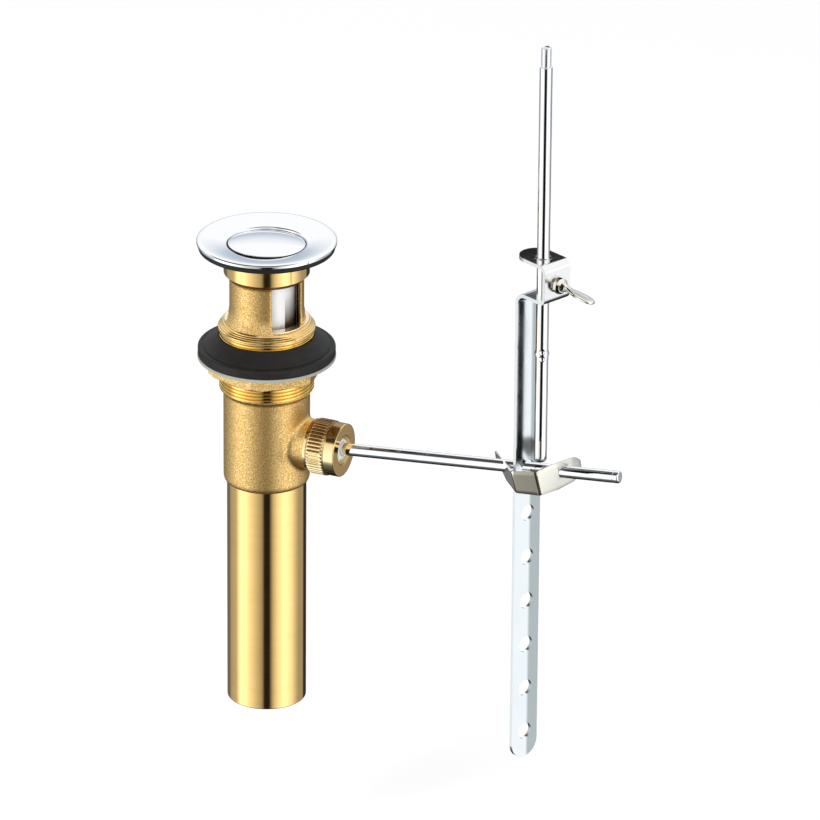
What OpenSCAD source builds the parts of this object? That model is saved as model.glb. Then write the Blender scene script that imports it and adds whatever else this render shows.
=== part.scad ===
// Pop up basin waste: flanged brass waste, lifting plug, ball pivot rod, strap and lift rod.
// The origin is on the waste's axis in the plane where the flange gasket sits on the basin.
// +Z points up out of the basin and the side branch points along +X.

/* [Flange and gasket] */
// Diameter of the flange
flange_d = 56; // [52:0.5:70]
// Thickness of the flange at its outer edge
flange_edge = 1.15; // [0.6:0.05:1.5]
// Height of the rim's crest above the outer edge
flange_rise = 0.4; // [0.2:0.05:1]
// Depth of the flange's dish from the rim to the plug's recess
dish_drop = 1.75; // [1:0.05:2.2]
// Thickness of the flange beside the plug
dish_t = 2.4; // [1.9:0.1:2.8]
// Thickness of the gasket under the flange
gasket_t = 2.3; // [1.8:0.1:5]
// How far the gasket's edge stays inside the flange's edge
gasket_inset = 0.7; // [0.2:0.1:2]
// Length of the threaded spigot under the flange
spigot_l = 12.5; // [9:0.5:14]
// Wall of the threaded spigot
spigot_wall = 1.8; // [1.2:0.1:2.2]
// Radius of the throat that the water falls through
throat_r = 12.4; // [12:0.1:13]

/* [Waste body] */
// Diameter of the machined head ring
head_d = 34.4; // [32.5:0.1:40]
// Height of the head ring below the basin seat
head_h = 10.1; // [6:0.1:10.5]
// Diameter of the cast neck
neck_d = 29.9; // [29:0.1:31]
// Radius of the bore through the neck
neck_bore_r = 13.5; // [13:0.1:13.8]
// Depth of the collar's top below the basin seat
collar_drop = 33; // [30:0.5:45]
// Height of the flare that spreads from the neck's solid side to the collar
flare_h = 7.5; // [4:0.1:10]
// How far the collar's edge stands out over the thread
collar_lip = 0.5; // [0.2:0.1:1]
// Diameter of the long outer thread
thread_d = 38; // [36:0.1:42]
// Length of the outer thread
thread_l = 27.8; // [22:0.1:40]
// Diameter of the cast barrel
barrel_d = 34.8; // [34:0.1:38]
// Length of the barrel below the thread
barrel_l = 39.7; // [37:0.1:60]
// Radius of the bore through thread and barrel
barrel_bore_r = 14.6; // [14.1:0.1:15]
// Angle that each overflow window takes out of the neck
window_angle = 58; // [30:1:70]
// Direction of the first of the two opposite overflow windows about the axis
window_turn = -28; // [-90:1:90]
// Angle that the flare takes up beside the first overflow window
web_angle = 85; // [60:1:110]
// Height of the overflow windows
window_h = 19.2; // [10:0.1:19.6]

/* [Basin clamp] */
// Diameter of the bevelled rubber washer
rubber_d = 55.2; // [50:0.2:66]
// Height of the rubber washer at the thread
rubber_h = 8.6; // [5:0.1:12]
// Height of the rubber washer at its outer edge
rubber_edge = 3.6; // [2:0.1:4.8]
// Depth of the rubber washer's top below the basin seat
rubber_drop = 37; // [36:0.1:40]
// Thickness of the slip washer
slip_t = 1.35; // [1:0.05:3]
// Width across the flats of the back nut
nut_af = 42; // [40.5:0.1:50]
// Thickness of the back nut
nut_t = 6; // [3:0.1:8]
// Direction of the back nut's first corner
nut_turn = -19.4; // [-30:0.1:30]

/* [Tail pipe] */
// Outside diameter of the tail pipe
tail_d = 32; // [31:0.1:32.6]
// Wall of the tail pipe
tail_wall = 1.2; // [0.8:0.1:1.6]
// Length of the tail pipe below the body
tail_l = 96.2; // [60:0.1:160]
// Length of the tail pipe inside the body
tail_insert = 9; // [6:0.5:11]

/* [Branch and gland] */
// Depth of the branch's axis below the end of the thread
branch_drop = 21.2; // [18:0.1:24]
// Distance from the waste's axis to the end of the cast boss
boss_x = 20.6; // [19.5:0.1:26]
// Diameter of the cast boss
boss_d = 20.4; // [19:0.1:22]
// Diameter of the gland nut
gland_d = 22.5; // [21.5:0.1:26]
// Length of the knurled part of the gland nut
knurl_l = 7.4; // [5:0.1:10]
// Number of grooves in the knurl
knurl_count = 44; // [24:1:60]
// Length of the smooth collar of the gland nut
gland_collar_l = 4.8; // [4:0.1:8]
// Thickness of the gland nut's front wall
gland_front_t = 3.1; // [2:0.1:3.3]
// Radius of the opening in the gland nut
gland_hole_r = 6.1; // [5.5:0.1:6.5]
// Diameter of the nylon ball
ball_d = 14; // [13.6:0.1:14.2]

/* [Pivot rod] */
// Diameter of the pivot rod
rod_d = 5; // [4:0.1:5.4]
// Upward tilt of the pivot rod with the plug closed
rod_tilt = 5.1; // [3:0.1:7]
// Length of the pivot rod outside the ball's centre
rod_out = 126.8; // [120:0.1:160]
// Length of the pivot rod past the waste's axis
rod_past_axis = 3.5; // [3:0.1:6]

/* [Plug] */
// Diameter of the plug's cap
cap_d = 30.9; // [30.2:0.1:32.6]
// Height of the cap's dome
cap_dome = 1.6; // [0.8:0.1:3]
// Length of the guiding vanes
vane_l = 33; // [26:0.5:40]
// Thickness of the guiding vanes
vane_t = 2; // [1.2:0.1:3]
// Depth of the plug stem's foot below the basin seat
stem_drop = 58; // [50:0.5:62]
// Radius of the plug stem's core
core_r = 5.2; // [5:0.1:6.5]
// Wall of the plug stem's guiding skirt
skirt_wall = 1.2; // [0.8:0.1:2]
// Depth of the skirt's top below the basin seat
skirt_drop = 9; // [7:0.5:11]

/* [Strap and bracket] */
// Distance from the waste's axis to the strap
strap_x = 113.6; // [105:0.1:130]
// Turn of the strap away from the branch's plane
strap_turn = -24; // [-27:0.5:0]
// Width of the strap
strap_w = 13.5; // [12:0.1:16]
// Thickness of the strap
strap_t = 1.5; // [1:0.1:1.8]
// Diameter of the strap's holes
hole_d = 6.8; // [6.7:0.1:8]
// Distance from one strap hole to the next
hole_pitch = 19.3; // [14:0.1:24]
// Number of holes in the strap
hole_count = 7; // [4:1:8]
// Distance from the last hole to the strap's end
strap_end = 11.4; // [9:0.1:15]
// Height of the bracket's foot above the basin seat
bracket_z = 2; // [-10:0.1:15]
// Height of the bracket
bracket_h = 16.7; // [15:0.1:24]
// Depth of the bracket from the strap to its front face
bracket_depth = 16.75; // [16:0.05:22]
// Distance from the strap to the lift rod
lift_offset = 7.7; // [7.4:0.1:8.2]

/* [Lift rod] */
// Height of the lift rod's shoulder above the basin seat
lift_top = 98.9; // [60:0.1:200]
// Length of the threaded tip
tip_l = 8; // [5:0.1:15]
// Radius of the threaded tip
tip_r = 2; // [1.5:0.05:2]
// Depth of the crimp below the basin seat
crimp_drop = 22.3; // [15:0.1:35]

/* [Spring clip] */
// Height of the clip's strip
clip_h = 10.4; // [9:0.1:12]
// Thickness of the clip's strip
clip_t = 0.7; // [0.5:0.05:1]
// Droop of the clip's front about the pivot rod
clip_droop = 6.5; // [0:0.5:10]

/* [Thumb screw] */
// Radius of the thumb screw's thread
screw_r = 2.4; // [2:0.1:2.6]
// Radius of the thumb screw's collar
screw_collar_r = 3.3; // [2.9:0.1:4.5]
// Length of the thumb screw's wing
wing_l = 15.9; // [9:0.1:18]
// Width of the thumb screw's wing
wing_w = 8; // [6:0.1:10]
// Thickness of the thumb screw's wing
wing_t = 1.9; // [1.2:0.1:3]
// Turn of the wing about the screw
wing_turn = -15; // [-90:1:90]

/* [Hidden] */
$fn = 96;
// Clearances: fixed joints, running fits, free gaps and threads
fixed_fit = 0.03;
run_fit = 0.08;
free_gap = 0.3;
thread_fit = 0.1;
eps = 0.5;

// Flange levels and radii
flange_r = flange_d / 2;
cap_r = cap_d / 2;
recess_r = cap_r + free_gap;
ledge_w = 2.3;
ledge_t = 0.9;
z_under = gasket_t;
z_edge = z_under + flange_edge;
z_rim = z_edge + flange_rise;
z_dish = z_rim - dish_drop;
z_dish_under = z_dish - dish_t;
z_ledge = z_dish_under + ledge_t;
rim_w = 1.3;
gasket_flat = 2.1;
gasket_lip = 0.4;
gasket_r = flange_r - gasket_inset;
spigot_r = throat_r + spigot_wall;
z_spigot = z_under - spigot_l;
cone_r = recess_r - ledge_w;

// Body levels and radii
head_r = head_d / 2;
neck_r = neck_d / 2;
thread_r = thread_d / 2;
barrel_r = barrel_d / 2;
collar_r = thread_r + collar_lip;
collar_t = 1.4;
ledge_top = 0.7;
z_neck = -head_h - (head_r - neck_r);
z_collar = -collar_drop;
flare = collar_r - neck_r - ledge_top;
flare_power = 1.4;
flare_steps = 8;
shelf_step = 0.25;
shelf_root = 0.3;
z_thread_end = z_collar - thread_l;
z_body_end = z_thread_end - barrel_l;
thread_lead = 1;
z_bore_step = z_collar - 2;
window_top_gap = 1.2;
z_window = -head_h - window_top_gap - window_h;

// Clamp levels
z_rubber = -rubber_drop;
z_slip = z_rubber - rubber_h;
z_nut = z_slip - slip_t;
clamp_bore_r = thread_r + thread_fit;
slip_r = rubber_d / 2 + 0.15;
rubber_lip_w = 2.2;
rubber_step = 0.4;

// Tail radii
tail_r = tail_d / 2;
tail_bore_r = tail_r - tail_wall;
insert_r = tail_r - 0.4;
socket_r = insert_r + fixed_fit;
body_lip = barrel_r - tail_r - 0.2;
body_round_h = 2.6;

// Branch and gland places along +X
branch_z = z_thread_end - branch_drop;
boss_r = boss_d / 2;
gland_r = gland_d / 2;
boss_foot = 2.4;
boss_foot_l = 3;
boss_plain_l = 4.6;
shoulder_t = 1.1;
shoulder_r = boss_r + 0.5;
gland_x = boss_x + shoulder_t + 0.2;
gland_collar_x = gland_x + knurl_l;
gland_end_x = gland_collar_x + gland_collar_l;
gland_front_x = gland_end_x - gland_front_t;
gland_collar_r = gland_r - 0.4;
stub_r = gland_r - 2.25;
ball_r = ball_d / 2;
ball_gap = 0.15;
ball_x = gland_front_x - sqrt(pow(ball_r + ball_gap, 2) - pow(gland_hole_r, 2));
pocket_r = ball_r + free_gap;
passage_r = pocket_r - 1.3;
ball_washer_t = 1.6;
stub_x = gland_front_x - ball_washer_t - 0.2;
seat_back = 7.7;
seat_front = 3.7;
seat_bore_r = 4.6;

// Rod and lever places
rod_r = rod_d / 2;
rod_in = (ball_x + rod_past_axis) / cos(rod_tilt);
eye_z = branch_z - ball_x * tan(rod_tilt);
strap_hole_z = branch_z + (strap_x - ball_x) * tan(rod_tilt);
strap_u = (strap_x - ball_x) / cos(rod_tilt);

// Plug levels
cap_edge = 0.4;
z_cap = z_ledge + free_gap;
z_cap_edge = z_cap + cap_edge;
dome_r = (pow(cap_r, 2) + pow(cap_dome, 2)) / (2 * cap_dome);
seal_t = 1.7;
z_seal = z_cap - seal_t;
seal_gap = free_gap * sqrt(2);
stem_head_t = 1.4;
z_stem_head = z_seal - stem_head_t;
rib_r = throat_r - 0.4;
rib_h = 0.4;
rib_angle = 34;
skirt_r = rib_r - rib_h;
stem_head_r = skirt_r;
vane_r = skirt_r - skirt_wall / 2;
z_vane = z_stem_head - vane_l;
z_stem = -stem_drop;
cap_boss_r = 3.6;
cap_boss_l = 14;
foot_r = 3;
foot_grip = 16;
lock_af = 10;
lock_t = 4;
eye_r = rod_r + 1.1;
eye_wall = 2.7;
eye_t = 4.2;

// Bracket places, measured from the strap's middle plane
lift_rod_r = rod_r;
bend_r = 5;
bracket_bend_r = 3;
back_face = -strap_t / 2;
front_face = bracket_depth + back_face;
leg_bend_t = back_face + bend_r;
front_bend_t = front_face - bracket_bend_r;
z_tab_low = bracket_z;
z_tab_high = bracket_z + bracket_h - strap_t;
z_leg_top = z_tab_low + strap_t - bend_r;
screw_drop = 0.6;
screw_z = bracket_z + bracket_h / 2 - screw_drop;
strap_low = strap_hole_z - (hole_count - 1) * hole_pitch - strap_end;
tab_reach = 4;
tab_round_t = lift_offset - tab_reach;

// Lift rod levels
lift_gap = 2.6;
lift_x = strap_x + lift_offset * cos(strap_turn);
lift_low = branch_z + (lift_x - ball_x) * tan(rod_tilt) + rod_r / cos(rod_tilt) + lift_gap;
rod_end_round = 1.6;
crimp_l = 3.6;
crimp_ear = 0.45;
crimp_turn = -41;
crimp_punch_r = 1.6;
crimp_punch_out = 0.9;
crimp_pitch = 2.8;

// Spring clip corners: place along the rod from the strap, place across it towards -Y,
// and the strip's top and bottom there as shares of its height
clip_corners = [
  [-16.6, -7.6, 0.14, -0.08],
  [-12.2, -2.8, 0.24, -0.28],
  [-8.3, 2.4, 0.28, -0.4],
  [-0.6, 11.8, 0.46, -0.46],
  [9.7, 11.8, 0.53, -0.47],
  [17.7, -4.4, 0.38, -0.62],
  [19.6, -7.4, 0.3, -0.5],
  [20.6, -9, 0.06, -0.3]
];

// Thumb screw lengths from the bracket's face
screw_collar_l = 2.9;
screw_neck_l = 5;
wing_root = 5.2;

// A ring turned about the local axis
module ring(inner, outer, low, high) {
  translate([0, 0, low])
    difference() {
      cylinder(r = outer, h = high - low);
      translate([0, 0, -eps]) cylinder(r = inner, h = high - low + 2 * eps);
    }
}

// A rod along the local axis with both ends rounded over
module round_ended_rod(r, low, high, round) {
  rotate_extrude()
    polygon(concat(
      [[0, low]],
      [for (a = [0 : 18 : 90]) [r - round * (1 - sin(a)), low + round * (1 - cos(a))]],
      [for (a = [0 : 18 : 90]) [r - round * (1 - cos(a)), high - round * (1 - sin(a))]],
      [[0, high]]
    ));
}

// Puts a shape turned about the local axis onto the branch, pointing along +X
module on_branch() {
  translate([0, 0, branch_z]) rotate([0, 90, 0]) children();
}

// Puts a shape on the pivot rod: +X runs out along the rod from the ball's centre
module on_rod() {
  translate([ball_x, 0, branch_z]) rotate([0, -rod_tilt, 0]) children();
}

// Puts a shape at the strap: +X is the strap's front, +Y its width, +Z up
module at_strap() {
  translate([strap_x, 0, 0]) rotate([0, 0, strap_turn]) children();
}

// Radius at which the flange's conical underside stands at height z
function under_r(z) =
  let (inner = head_r + run_fit)
  let (outer = gasket_r - gasket_flat)
  inner + (outer - inner) * (z - z_dish_under) / (z_under - z_dish_under);

// Flange: shallow dish with a plug recess, a conical seat and a threaded spigot
module flange() {
  color("gainsboro")
    rotate_extrude()
      polygon([
        [throat_r, z_spigot],
        [spigot_r, z_spigot],
        [spigot_r, z_dish_under],
        [under_r(z_dish_under), z_dish_under],
        [under_r(z_under), z_under],
        [flange_r - 0.3, z_under],
        [flange_r, z_under + 0.3],
        [flange_r, z_edge - 0.2],
        [flange_r - 0.35, z_edge + flange_rise * 0.6],
        [flange_r - rim_w, z_rim],
        [flange_r - 2 * rim_w, z_rim - dish_drop * 0.05],
        [flange_r - 4 * rim_w, z_rim - dish_drop * 0.24],
        [recess_r + 2, z_dish + dish_drop * 0.21],
        [recess_r + 0.3, z_dish],
        [recess_r, z_dish - 0.2],
        [recess_r, z_ledge],
        [cone_r, z_ledge],
        [throat_r, z_ledge - (cone_r - throat_r)]
      ]);
}

// Gasket: moulded rubber ring round the head, clamped under the flange's cone
module flange_gasket() {
  z_inner = max(z_dish_under, gasket_lip);
  gasket_in = under_r(z_inner);
  color("dimgray")
    rotate_extrude()
      polygon([
        [gasket_in, 0],
        [gasket_r - 0.5, 0],
        [gasket_r, 0.5],
        [gasket_r, z_under - 0.4],
        [gasket_r - 0.4, z_under],
        [under_r(z_under) + run_fit, z_under],
        [gasket_in, z_inner - fixed_fit]
      ]);
}

// Point on the flare's outline at height z
function flare_point(z) = [neck_r + flare * pow((z_collar + flare_h - z) / flare_h, flare_power), z];

// Outside of the turned casting: head ring, neck, flared collar, thread and barrel
module body_outside() {
  rotate_extrude()
    polygon(concat(
      [
        [0, z_dish_under],
        [head_r - 0.3, z_dish_under],
        [head_r, z_dish_under - 0.3],
        [head_r, -head_h],
        [neck_r, z_neck]
      ],
      [for (i = [0 : flare_steps]) flare_point(z_collar + flare_h * (1 - i / flare_steps))],
      [
        [collar_r - 0.4, z_collar],
        [collar_r, z_collar - 0.4],
        [collar_r, z_collar - collar_t],
        [thread_r, z_collar - collar_t - collar_lip],
        [thread_r, z_thread_end + thread_lead],
        [barrel_r, z_thread_end + thread_lead - (thread_r - barrel_r)]
      ],
      [for (a = [0 : 15 : 90])
        [barrel_r - body_lip * (1 - cos(a)), z_body_end + body_round_h * (1 - sin(a))]],
      [[0, z_body_end]]
    ));
}

// Water way through the body, from the spigot's socket to the tail's socket
module body_bore() {
  step = barrel_bore_r - neck_bore_r;
  z_socket = z_body_end + tail_insert + fixed_fit;
  rotate_extrude()
    polygon([
      [0, z_dish_under + eps],
      [spigot_r + thread_fit, z_dish_under + eps],
      [spigot_r + thread_fit, z_spigot - 0.2],
      [neck_bore_r, z_spigot - 0.2],
      [neck_bore_r, z_bore_step],
      [barrel_bore_r, z_bore_step - step],
      [barrel_bore_r, z_socket],
      [socket_r, z_socket],
      [socket_r, z_body_end - eps],
      [0, z_body_end - eps]
    ]);
}

// Plan of a wedge about the axis, from one direction through a sweep
module wedge(start, sweep) {
  reach = 2 * neck_r;
  steps = ceil(sweep / 40);
  polygon(concat(
    [[0, 0]],
    [for (i = [0 : steps]) reach * [cos(start + sweep * i / steps), sin(start + sweep * i / steps)]]
  ));
}

// Overflow windows: two opposite wedges cut out of the neck's wall down to the collar
module overflow_windows() {
  for (turn = [0, 180])
    translate([0, 0, z_window])
      linear_extrude(height = window_h) wedge(window_turn + turn - window_angle / 2, window_angle);
}

// Shelf: what is milled off the flare everywhere apart from the neck's solid side
module collar_shelf() {
  translate([0, 0, z_window + shelf_step])
    difference() {
      linear_extrude(height = flare_h) wedge(window_turn, 360 - window_angle / 2 - web_angle);
      translate([0, 0, -eps]) cylinder(r = neck_r + shelf_root, h = flare_h + 2 * eps);
    }
}

// Branch: cast boss with a foot that spreads onto the barrel, machined shoulder and threaded stub
module branch_outside() {
  x_blend = boss_x - boss_plain_l;
  on_branch()
    rotate_extrude()
      polygon(concat(
        [[0, 0], [boss_r + boss_foot, 0], [boss_r + boss_foot, x_blend - boss_foot_l]],
        [for (a = [0 : 15 : 90])
          [boss_r + boss_foot * (1 - sin(a)), x_blend - boss_foot_l * cos(a)]],
        [
          [boss_r, boss_x],
          [shoulder_r - 0.2, boss_x],
          [shoulder_r, boss_x + 0.2],
          [shoulder_r, boss_x + shoulder_t],
          [stub_r, boss_x + shoulder_t],
          [stub_r, stub_x - 0.6],
          [stub_r - 0.6, stub_x],
          [0, stub_x]
        ]
      ));
}

// Passage for the pivot rod and the wider pocket for the ball and its seat
module branch_bore() {
  on_branch() {
    cylinder(r = passage_r, h = ball_x);
    translate([0, 0, ball_x - seat_back]) cylinder(r = pocket_r, h = stub_x);
  }
}

// Waste body: one brass casting with the overflow windows and the side branch
module waste_body() {
  color("goldenrod")
    difference() {
      union() {
        body_outside();
        branch_outside();
      }
      body_bore();
      branch_bore();
      overflow_windows();
      collar_shelf();
    }
}

// Rubber washer: bevelled on top so that it wedges into the basin's outlet, with a flat lip
module rubber_washer() {
  rubber_r = rubber_d / 2;
  z_lip = z_slip + rubber_edge;
  color("darkslategray")
    rotate_extrude()
      polygon([
        [clamp_bore_r, z_slip],
        [rubber_r - 0.5, z_slip],
        [rubber_r, z_slip + 0.5],
        [rubber_r, z_lip - 0.9],
        [rubber_r - 0.3, z_lip - 0.3],
        [rubber_r - 0.9, z_lip],
        [rubber_r - rubber_lip_w, z_lip],
        [rubber_r - rubber_lip_w, z_lip + rubber_step],
        [clamp_bore_r + 0.9, z_rubber],
        [clamp_bore_r, z_rubber]
      ]);
}

// Slip washer: thin plastic ring that lets the nut turn under the rubber
module slip_washer() {
  color("lightgray")
    rotate_extrude()
      polygon([
        [clamp_bore_r, z_nut],
        [slip_r - 0.3, z_nut],
        [slip_r, z_nut + 0.3],
        [slip_r, z_slip - 0.2],
        [slip_r - 0.2, z_slip],
        [clamp_bore_r, z_slip]
      ]);
}

// Back nut: thin hexagon with its corners turned down on the lower side
module back_nut() {
  corner_r = nut_af / 2 / cos(30);
  color("goldenrod")
    difference() {
      intersection() {
        translate([0, 0, z_nut - nut_t])
          rotate([0, 0, nut_turn])
            cylinder(r = corner_r, h = nut_t, $fn = 6);
        rotate_extrude()
          polygon([
            [0, z_nut],
            [corner_r, z_nut],
            [corner_r, z_nut - nut_t + 1.2],
            [corner_r - 1.6, z_nut - nut_t],
            [0, z_nut - nut_t]
          ]);
      }
      translate([0, 0, z_nut - nut_t - eps]) cylinder(r = clamp_bore_r, h = nut_t + 2 * eps);
    }
}

// Tail pipe: thin tube with a turned-down end that fits the body's socket
module tail_pipe() {
  z_low = z_body_end - tail_l;
  color("gold")
    rotate_extrude()
      polygon([
        [tail_bore_r, z_low + 0.2],
        [tail_bore_r + 0.2, z_low],
        [tail_r - 0.4, z_low],
        [tail_r, z_low + 0.4],
        [tail_r, z_body_end],
        [insert_r, z_body_end],
        [insert_r, z_body_end + tail_insert],
        [tail_bore_r, z_body_end + tail_insert]
      ]);
}

// Gland nut: straight knurl, smooth collar and a front wall that holds the ball in
module gland_nut() {
  groove_r = 0.5;
  color("goldenrod")
    difference() {
      on_branch()
        rotate_extrude()
          polygon([
            [stub_r + thread_fit, gland_x],
            [gland_r - 0.5, gland_x],
            [gland_r, gland_x + 0.5],
            [gland_r, gland_collar_x - 0.6],
            [gland_r - 0.6, gland_collar_x],
            [gland_collar_r, gland_collar_x],
            [gland_collar_r, gland_end_x - 0.3],
            [gland_collar_r - 0.3, gland_end_x],
            [gland_hole_r + 0.2, gland_end_x],
            [gland_hole_r, gland_end_x - 0.2],
            [gland_hole_r, gland_front_x],
            [stub_r + thread_fit, gland_front_x]
          ]);
      on_branch()
        for (i = [0 : knurl_count - 1])
          rotate([0, 0, i * 360 / knurl_count])
            translate([gland_r + 0.1, 0, gland_x - eps])
              cylinder(r = groove_r, h = knurl_l - 0.4 + eps, $fn = 24);
    }
}

// A collar round the ball, hollowed to the ball's own curve
module ball_collar(inner, outer, low, high) {
  difference() {
    on_branch() ring(inner, outer, low, high);
    translate([ball_x, 0, branch_z]) sphere(r = ball_r + run_fit);
  }
}

// Ball seat: ring in the branch's pocket that the ball turns on
module ball_seat() {
  color("white")
    ball_collar(seat_bore_r, pocket_r - fixed_fit, ball_x - seat_back + fixed_fit, ball_x - seat_front);
}

// Ball washer: ring between the ball and the gland nut's front wall
module ball_washer() {
  color("white")
    ball_collar(ball_r - 1.5, stub_r - 0.2, gland_front_x - ball_washer_t, gland_front_x);
}

// Pivot ball: nylon ball on the pivot rod
module pivot_ball() {
  color("white")
    difference() {
      translate([ball_x, 0, branch_z]) sphere(r = ball_r);
      on_rod() rotate([0, 90, 0]) translate([0, 0, -ball_d]) cylinder(r = rod_r + fixed_fit, h = 2 * ball_d);
    }
}

// Pivot rod: straight rod with rounded ends and a turned ring near its outer end
module pivot_rod() {
  ring_l = 2.6;
  color("silver")
    difference() {
      on_rod() rotate([0, 90, 0]) round_ended_rod(rod_r, -rod_in, rod_out, rod_end_round);
      on_rod() rotate([0, 90, 0]) ring(rod_r - 0.15, rod_d, rod_out - ring_l, rod_out - ring_l + 0.4);
    }
}

// Corner of the clip's strip in the rod's frame
function clip_corner(p) = [strap_u + p[0], -p[1]];

// Outline of the clip's strip seen square onto the rod
function clip_face() = concat(
  [for (p = clip_corners) [strap_u + p[0], p[2] * clip_h]],
  [for (i = [len(clip_corners) - 1 : -1 : 0]) [strap_u + clip_corners[i][0], clip_corners[i][3] * clip_h]]
);

// Unit vector square to the stretch from one corner to the next
function stretch_normal(a, b) = [a[1] - b[1], b[0] - a[0]] / norm(b - a);

// Direction and length of the mitre at corner i of a strip one unit wide each way
function mitre(p, i) =
  let (before = stretch_normal(p[max(i - 1, 0)], p[max(i, 1)]))
  let (after = stretch_normal(p[min(i, len(p) - 2)], p[min(i + 1, len(p) - 1)]))
  (before + after) / (1 + before * after);

// Outline of a strip of thickness t bent along the corners p
function strip_outline(p, t) = concat(
  [for (i = [0 : len(p) - 1]) p[i] + mitre(p, i) * t / 2],
  [for (i = [len(p) - 1 : -1 : 0]) p[i] - mitre(p, i) * t / 2]
);

// Spring clip: folded strip that grips the pivot rod on both sides of the strap
module spring_clip() {
  corners = [for (p = clip_corners) clip_corner(p)];
  color("tan")
    on_rod()
      rotate([clip_droop, 0, 0])
        difference() {
          intersection() {
            translate([0, 0, -clip_h])
              linear_extrude(height = 2 * clip_h)
                polygon(strip_outline(corners, clip_t));
            rotate([90, 0, 0])
              linear_extrude(height = 6 * clip_h, center = true)
                polygon(clip_face());
          }
          rotate([0, 90, 0]) translate([0, 0, ball_r]) cylinder(r = rod_r + run_fit, h = rod_out);
        }
}

// Plug cap: shallow polished dome with a threaded boss
module plug_cap() {
  color("gainsboro") {
    intersection() {
      translate([0, 0, z_cap_edge + cap_dome - dome_r]) sphere(r = dome_r, $fn = 180);
      rotate_extrude()
        polygon([
          [0, z_cap],
          [cap_r - 0.25, z_cap],
          [cap_r, z_cap + 0.25],
          [cap_r, z_cap_edge + cap_dome],
          [0, z_cap_edge + cap_dome]
        ]);
    }
    translate([0, 0, z_cap - cap_boss_l]) cylinder(r = cap_boss_r, h = cap_boss_l + cap_edge);
  }
}

// Plug seal: rubber ring that closes on the flange's conical seat
module plug_seal() {
  seal_r = cone_r - seal_gap;
  color("dimgray")
    rotate_extrude()
      polygon([
        [cap_boss_r + fixed_fit, z_seal],
        [seal_r - (z_ledge - z_seal), z_seal],
        [seal_r, z_ledge],
        [seal_r, z_cap],
        [cap_boss_r + fixed_fit, z_cap]
      ]);
}

// Guiding skirt of the plug stem: thin tube with four broad low ribs down its outside
module guiding_skirt() {
  z_top = -skirt_drop;
  half = rib_angle / 2;
  ring(skirt_r - skirt_wall, skirt_r, z_vane, z_top);
  intersection() {
    ring(skirt_r - skirt_wall / 2, rib_r, z_vane, z_top);
    for (turn = [0 : 90 : 270])
      translate([0, 0, z_vane - eps])
        rotate([0, 0, window_turn - half + turn])
          linear_extrude(height = z_top - z_vane + 2 * eps)
            polygon([
              [0, 0],
              [2 * rib_r * cos(half), -2 * rib_r * sin(half)],
              [2 * rib_r * cos(half), 2 * rib_r * sin(half)]
            ]);
  }
}

// Plug stem: moulded core, guiding vanes and a skirt under a flat head
module plug_stem() {
  color("gainsboro")
    difference() {
      union() {
        translate([0, 0, z_stem_head]) cylinder(r = stem_head_r, h = stem_head_t);
        translate([0, 0, z_stem]) cylinder(r = core_r, h = z_seal - z_stem);
        guiding_skirt();
        translate([0, 0, z_vane])
          intersection() {
            cylinder(r = vane_r, h = vane_l + stem_head_t / 2);
            for (turn = [0, 90])
              rotate([0, 0, window_turn + turn])
                translate([-vane_r - 1, -vane_t / 2, -1])
                  cube([2 * vane_r + 2, vane_t, vane_l + stem_head_t / 2 + 2]);
          }
      }
      translate([0, 0, z_cap - cap_boss_l - 0.5])
        cylinder(r = cap_boss_r + fixed_fit, h = cap_boss_l + 0.5 + eps);
      translate([0, 0, z_stem - eps]) cylinder(r = foot_r + fixed_fit, h = foot_grip + 0.5 + eps);
    }
}

// Plug foot: threaded stalk with the eye that the pivot rod's inner end lifts
module plug_foot() {
  eye_out = eye_r + eye_wall;
  color("white")
    difference() {
      union() {
        translate([0, 0, eye_z]) cylinder(r = foot_r, h = z_stem + foot_grip - eye_z);
        translate([-eye_t / 2, 0, eye_z]) rotate([0, 90, 0]) cylinder(r = eye_out, h = eye_t);
      }
      translate([-eye_out, 0, eye_z]) rotate([0, 90, 0]) cylinder(r = eye_r, h = 2 * eye_out);
    }
}

// Lock nut: keeps the plug foot at the height that was set
module plug_lock_nut() {
  color("goldenrod")
    translate([0, 0, z_stem - lock_t])
      difference() {
        cylinder(r = lock_af / 2 / cos(30), h = lock_t, $fn = 6);
        translate([0, 0, -eps]) cylinder(r = foot_r + fixed_fit, h = lock_t + 2 * eps);
      }
}

// A quarter bend of the strap about an axis across its width
module strap_bend(at_t, at_z, outer, start) {
  translate([at_t, 0, at_z])
    rotate([90, 0, 0])
      rotate([0, 0, start])
        rotate_extrude(angle = 90)
          translate([outer - strap_t, -strap_w / 2])
            square([strap_t, strap_w]);
}

// Hanging leg of the strap with its row of holes and its round end
module strap_leg() {
  translate([back_face, 0, 0])
    rotate([90, 0, 90])
      linear_extrude(height = strap_t)
        difference() {
          union() {
            translate([-strap_w / 2, strap_low + strap_w / 2])
              square([strap_w, z_leg_top - strap_low - strap_w / 2]);
            translate([0, strap_low + strap_w / 2]) circle(d = strap_w);
          }
          for (i = [0 : hole_count - 1])
            translate([0, strap_hole_z - i * hole_pitch]) circle(d = hole_d);
        }
}

// One level tab of the bracket, with the hole that guides the lift rod
module strap_tab(from_t, z_low, round_end) {
  translate([0, 0, z_low])
    linear_extrude(height = strap_t)
      difference() {
        union() {
          translate([from_t, -strap_w / 2]) square([front_bend_t - from_t, strap_w]);
          if (round_end) translate([from_t, 0]) circle(d = strap_w);
        }
        translate([lift_offset, 0]) circle(r = lift_rod_r + run_fit);
      }
}

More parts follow.
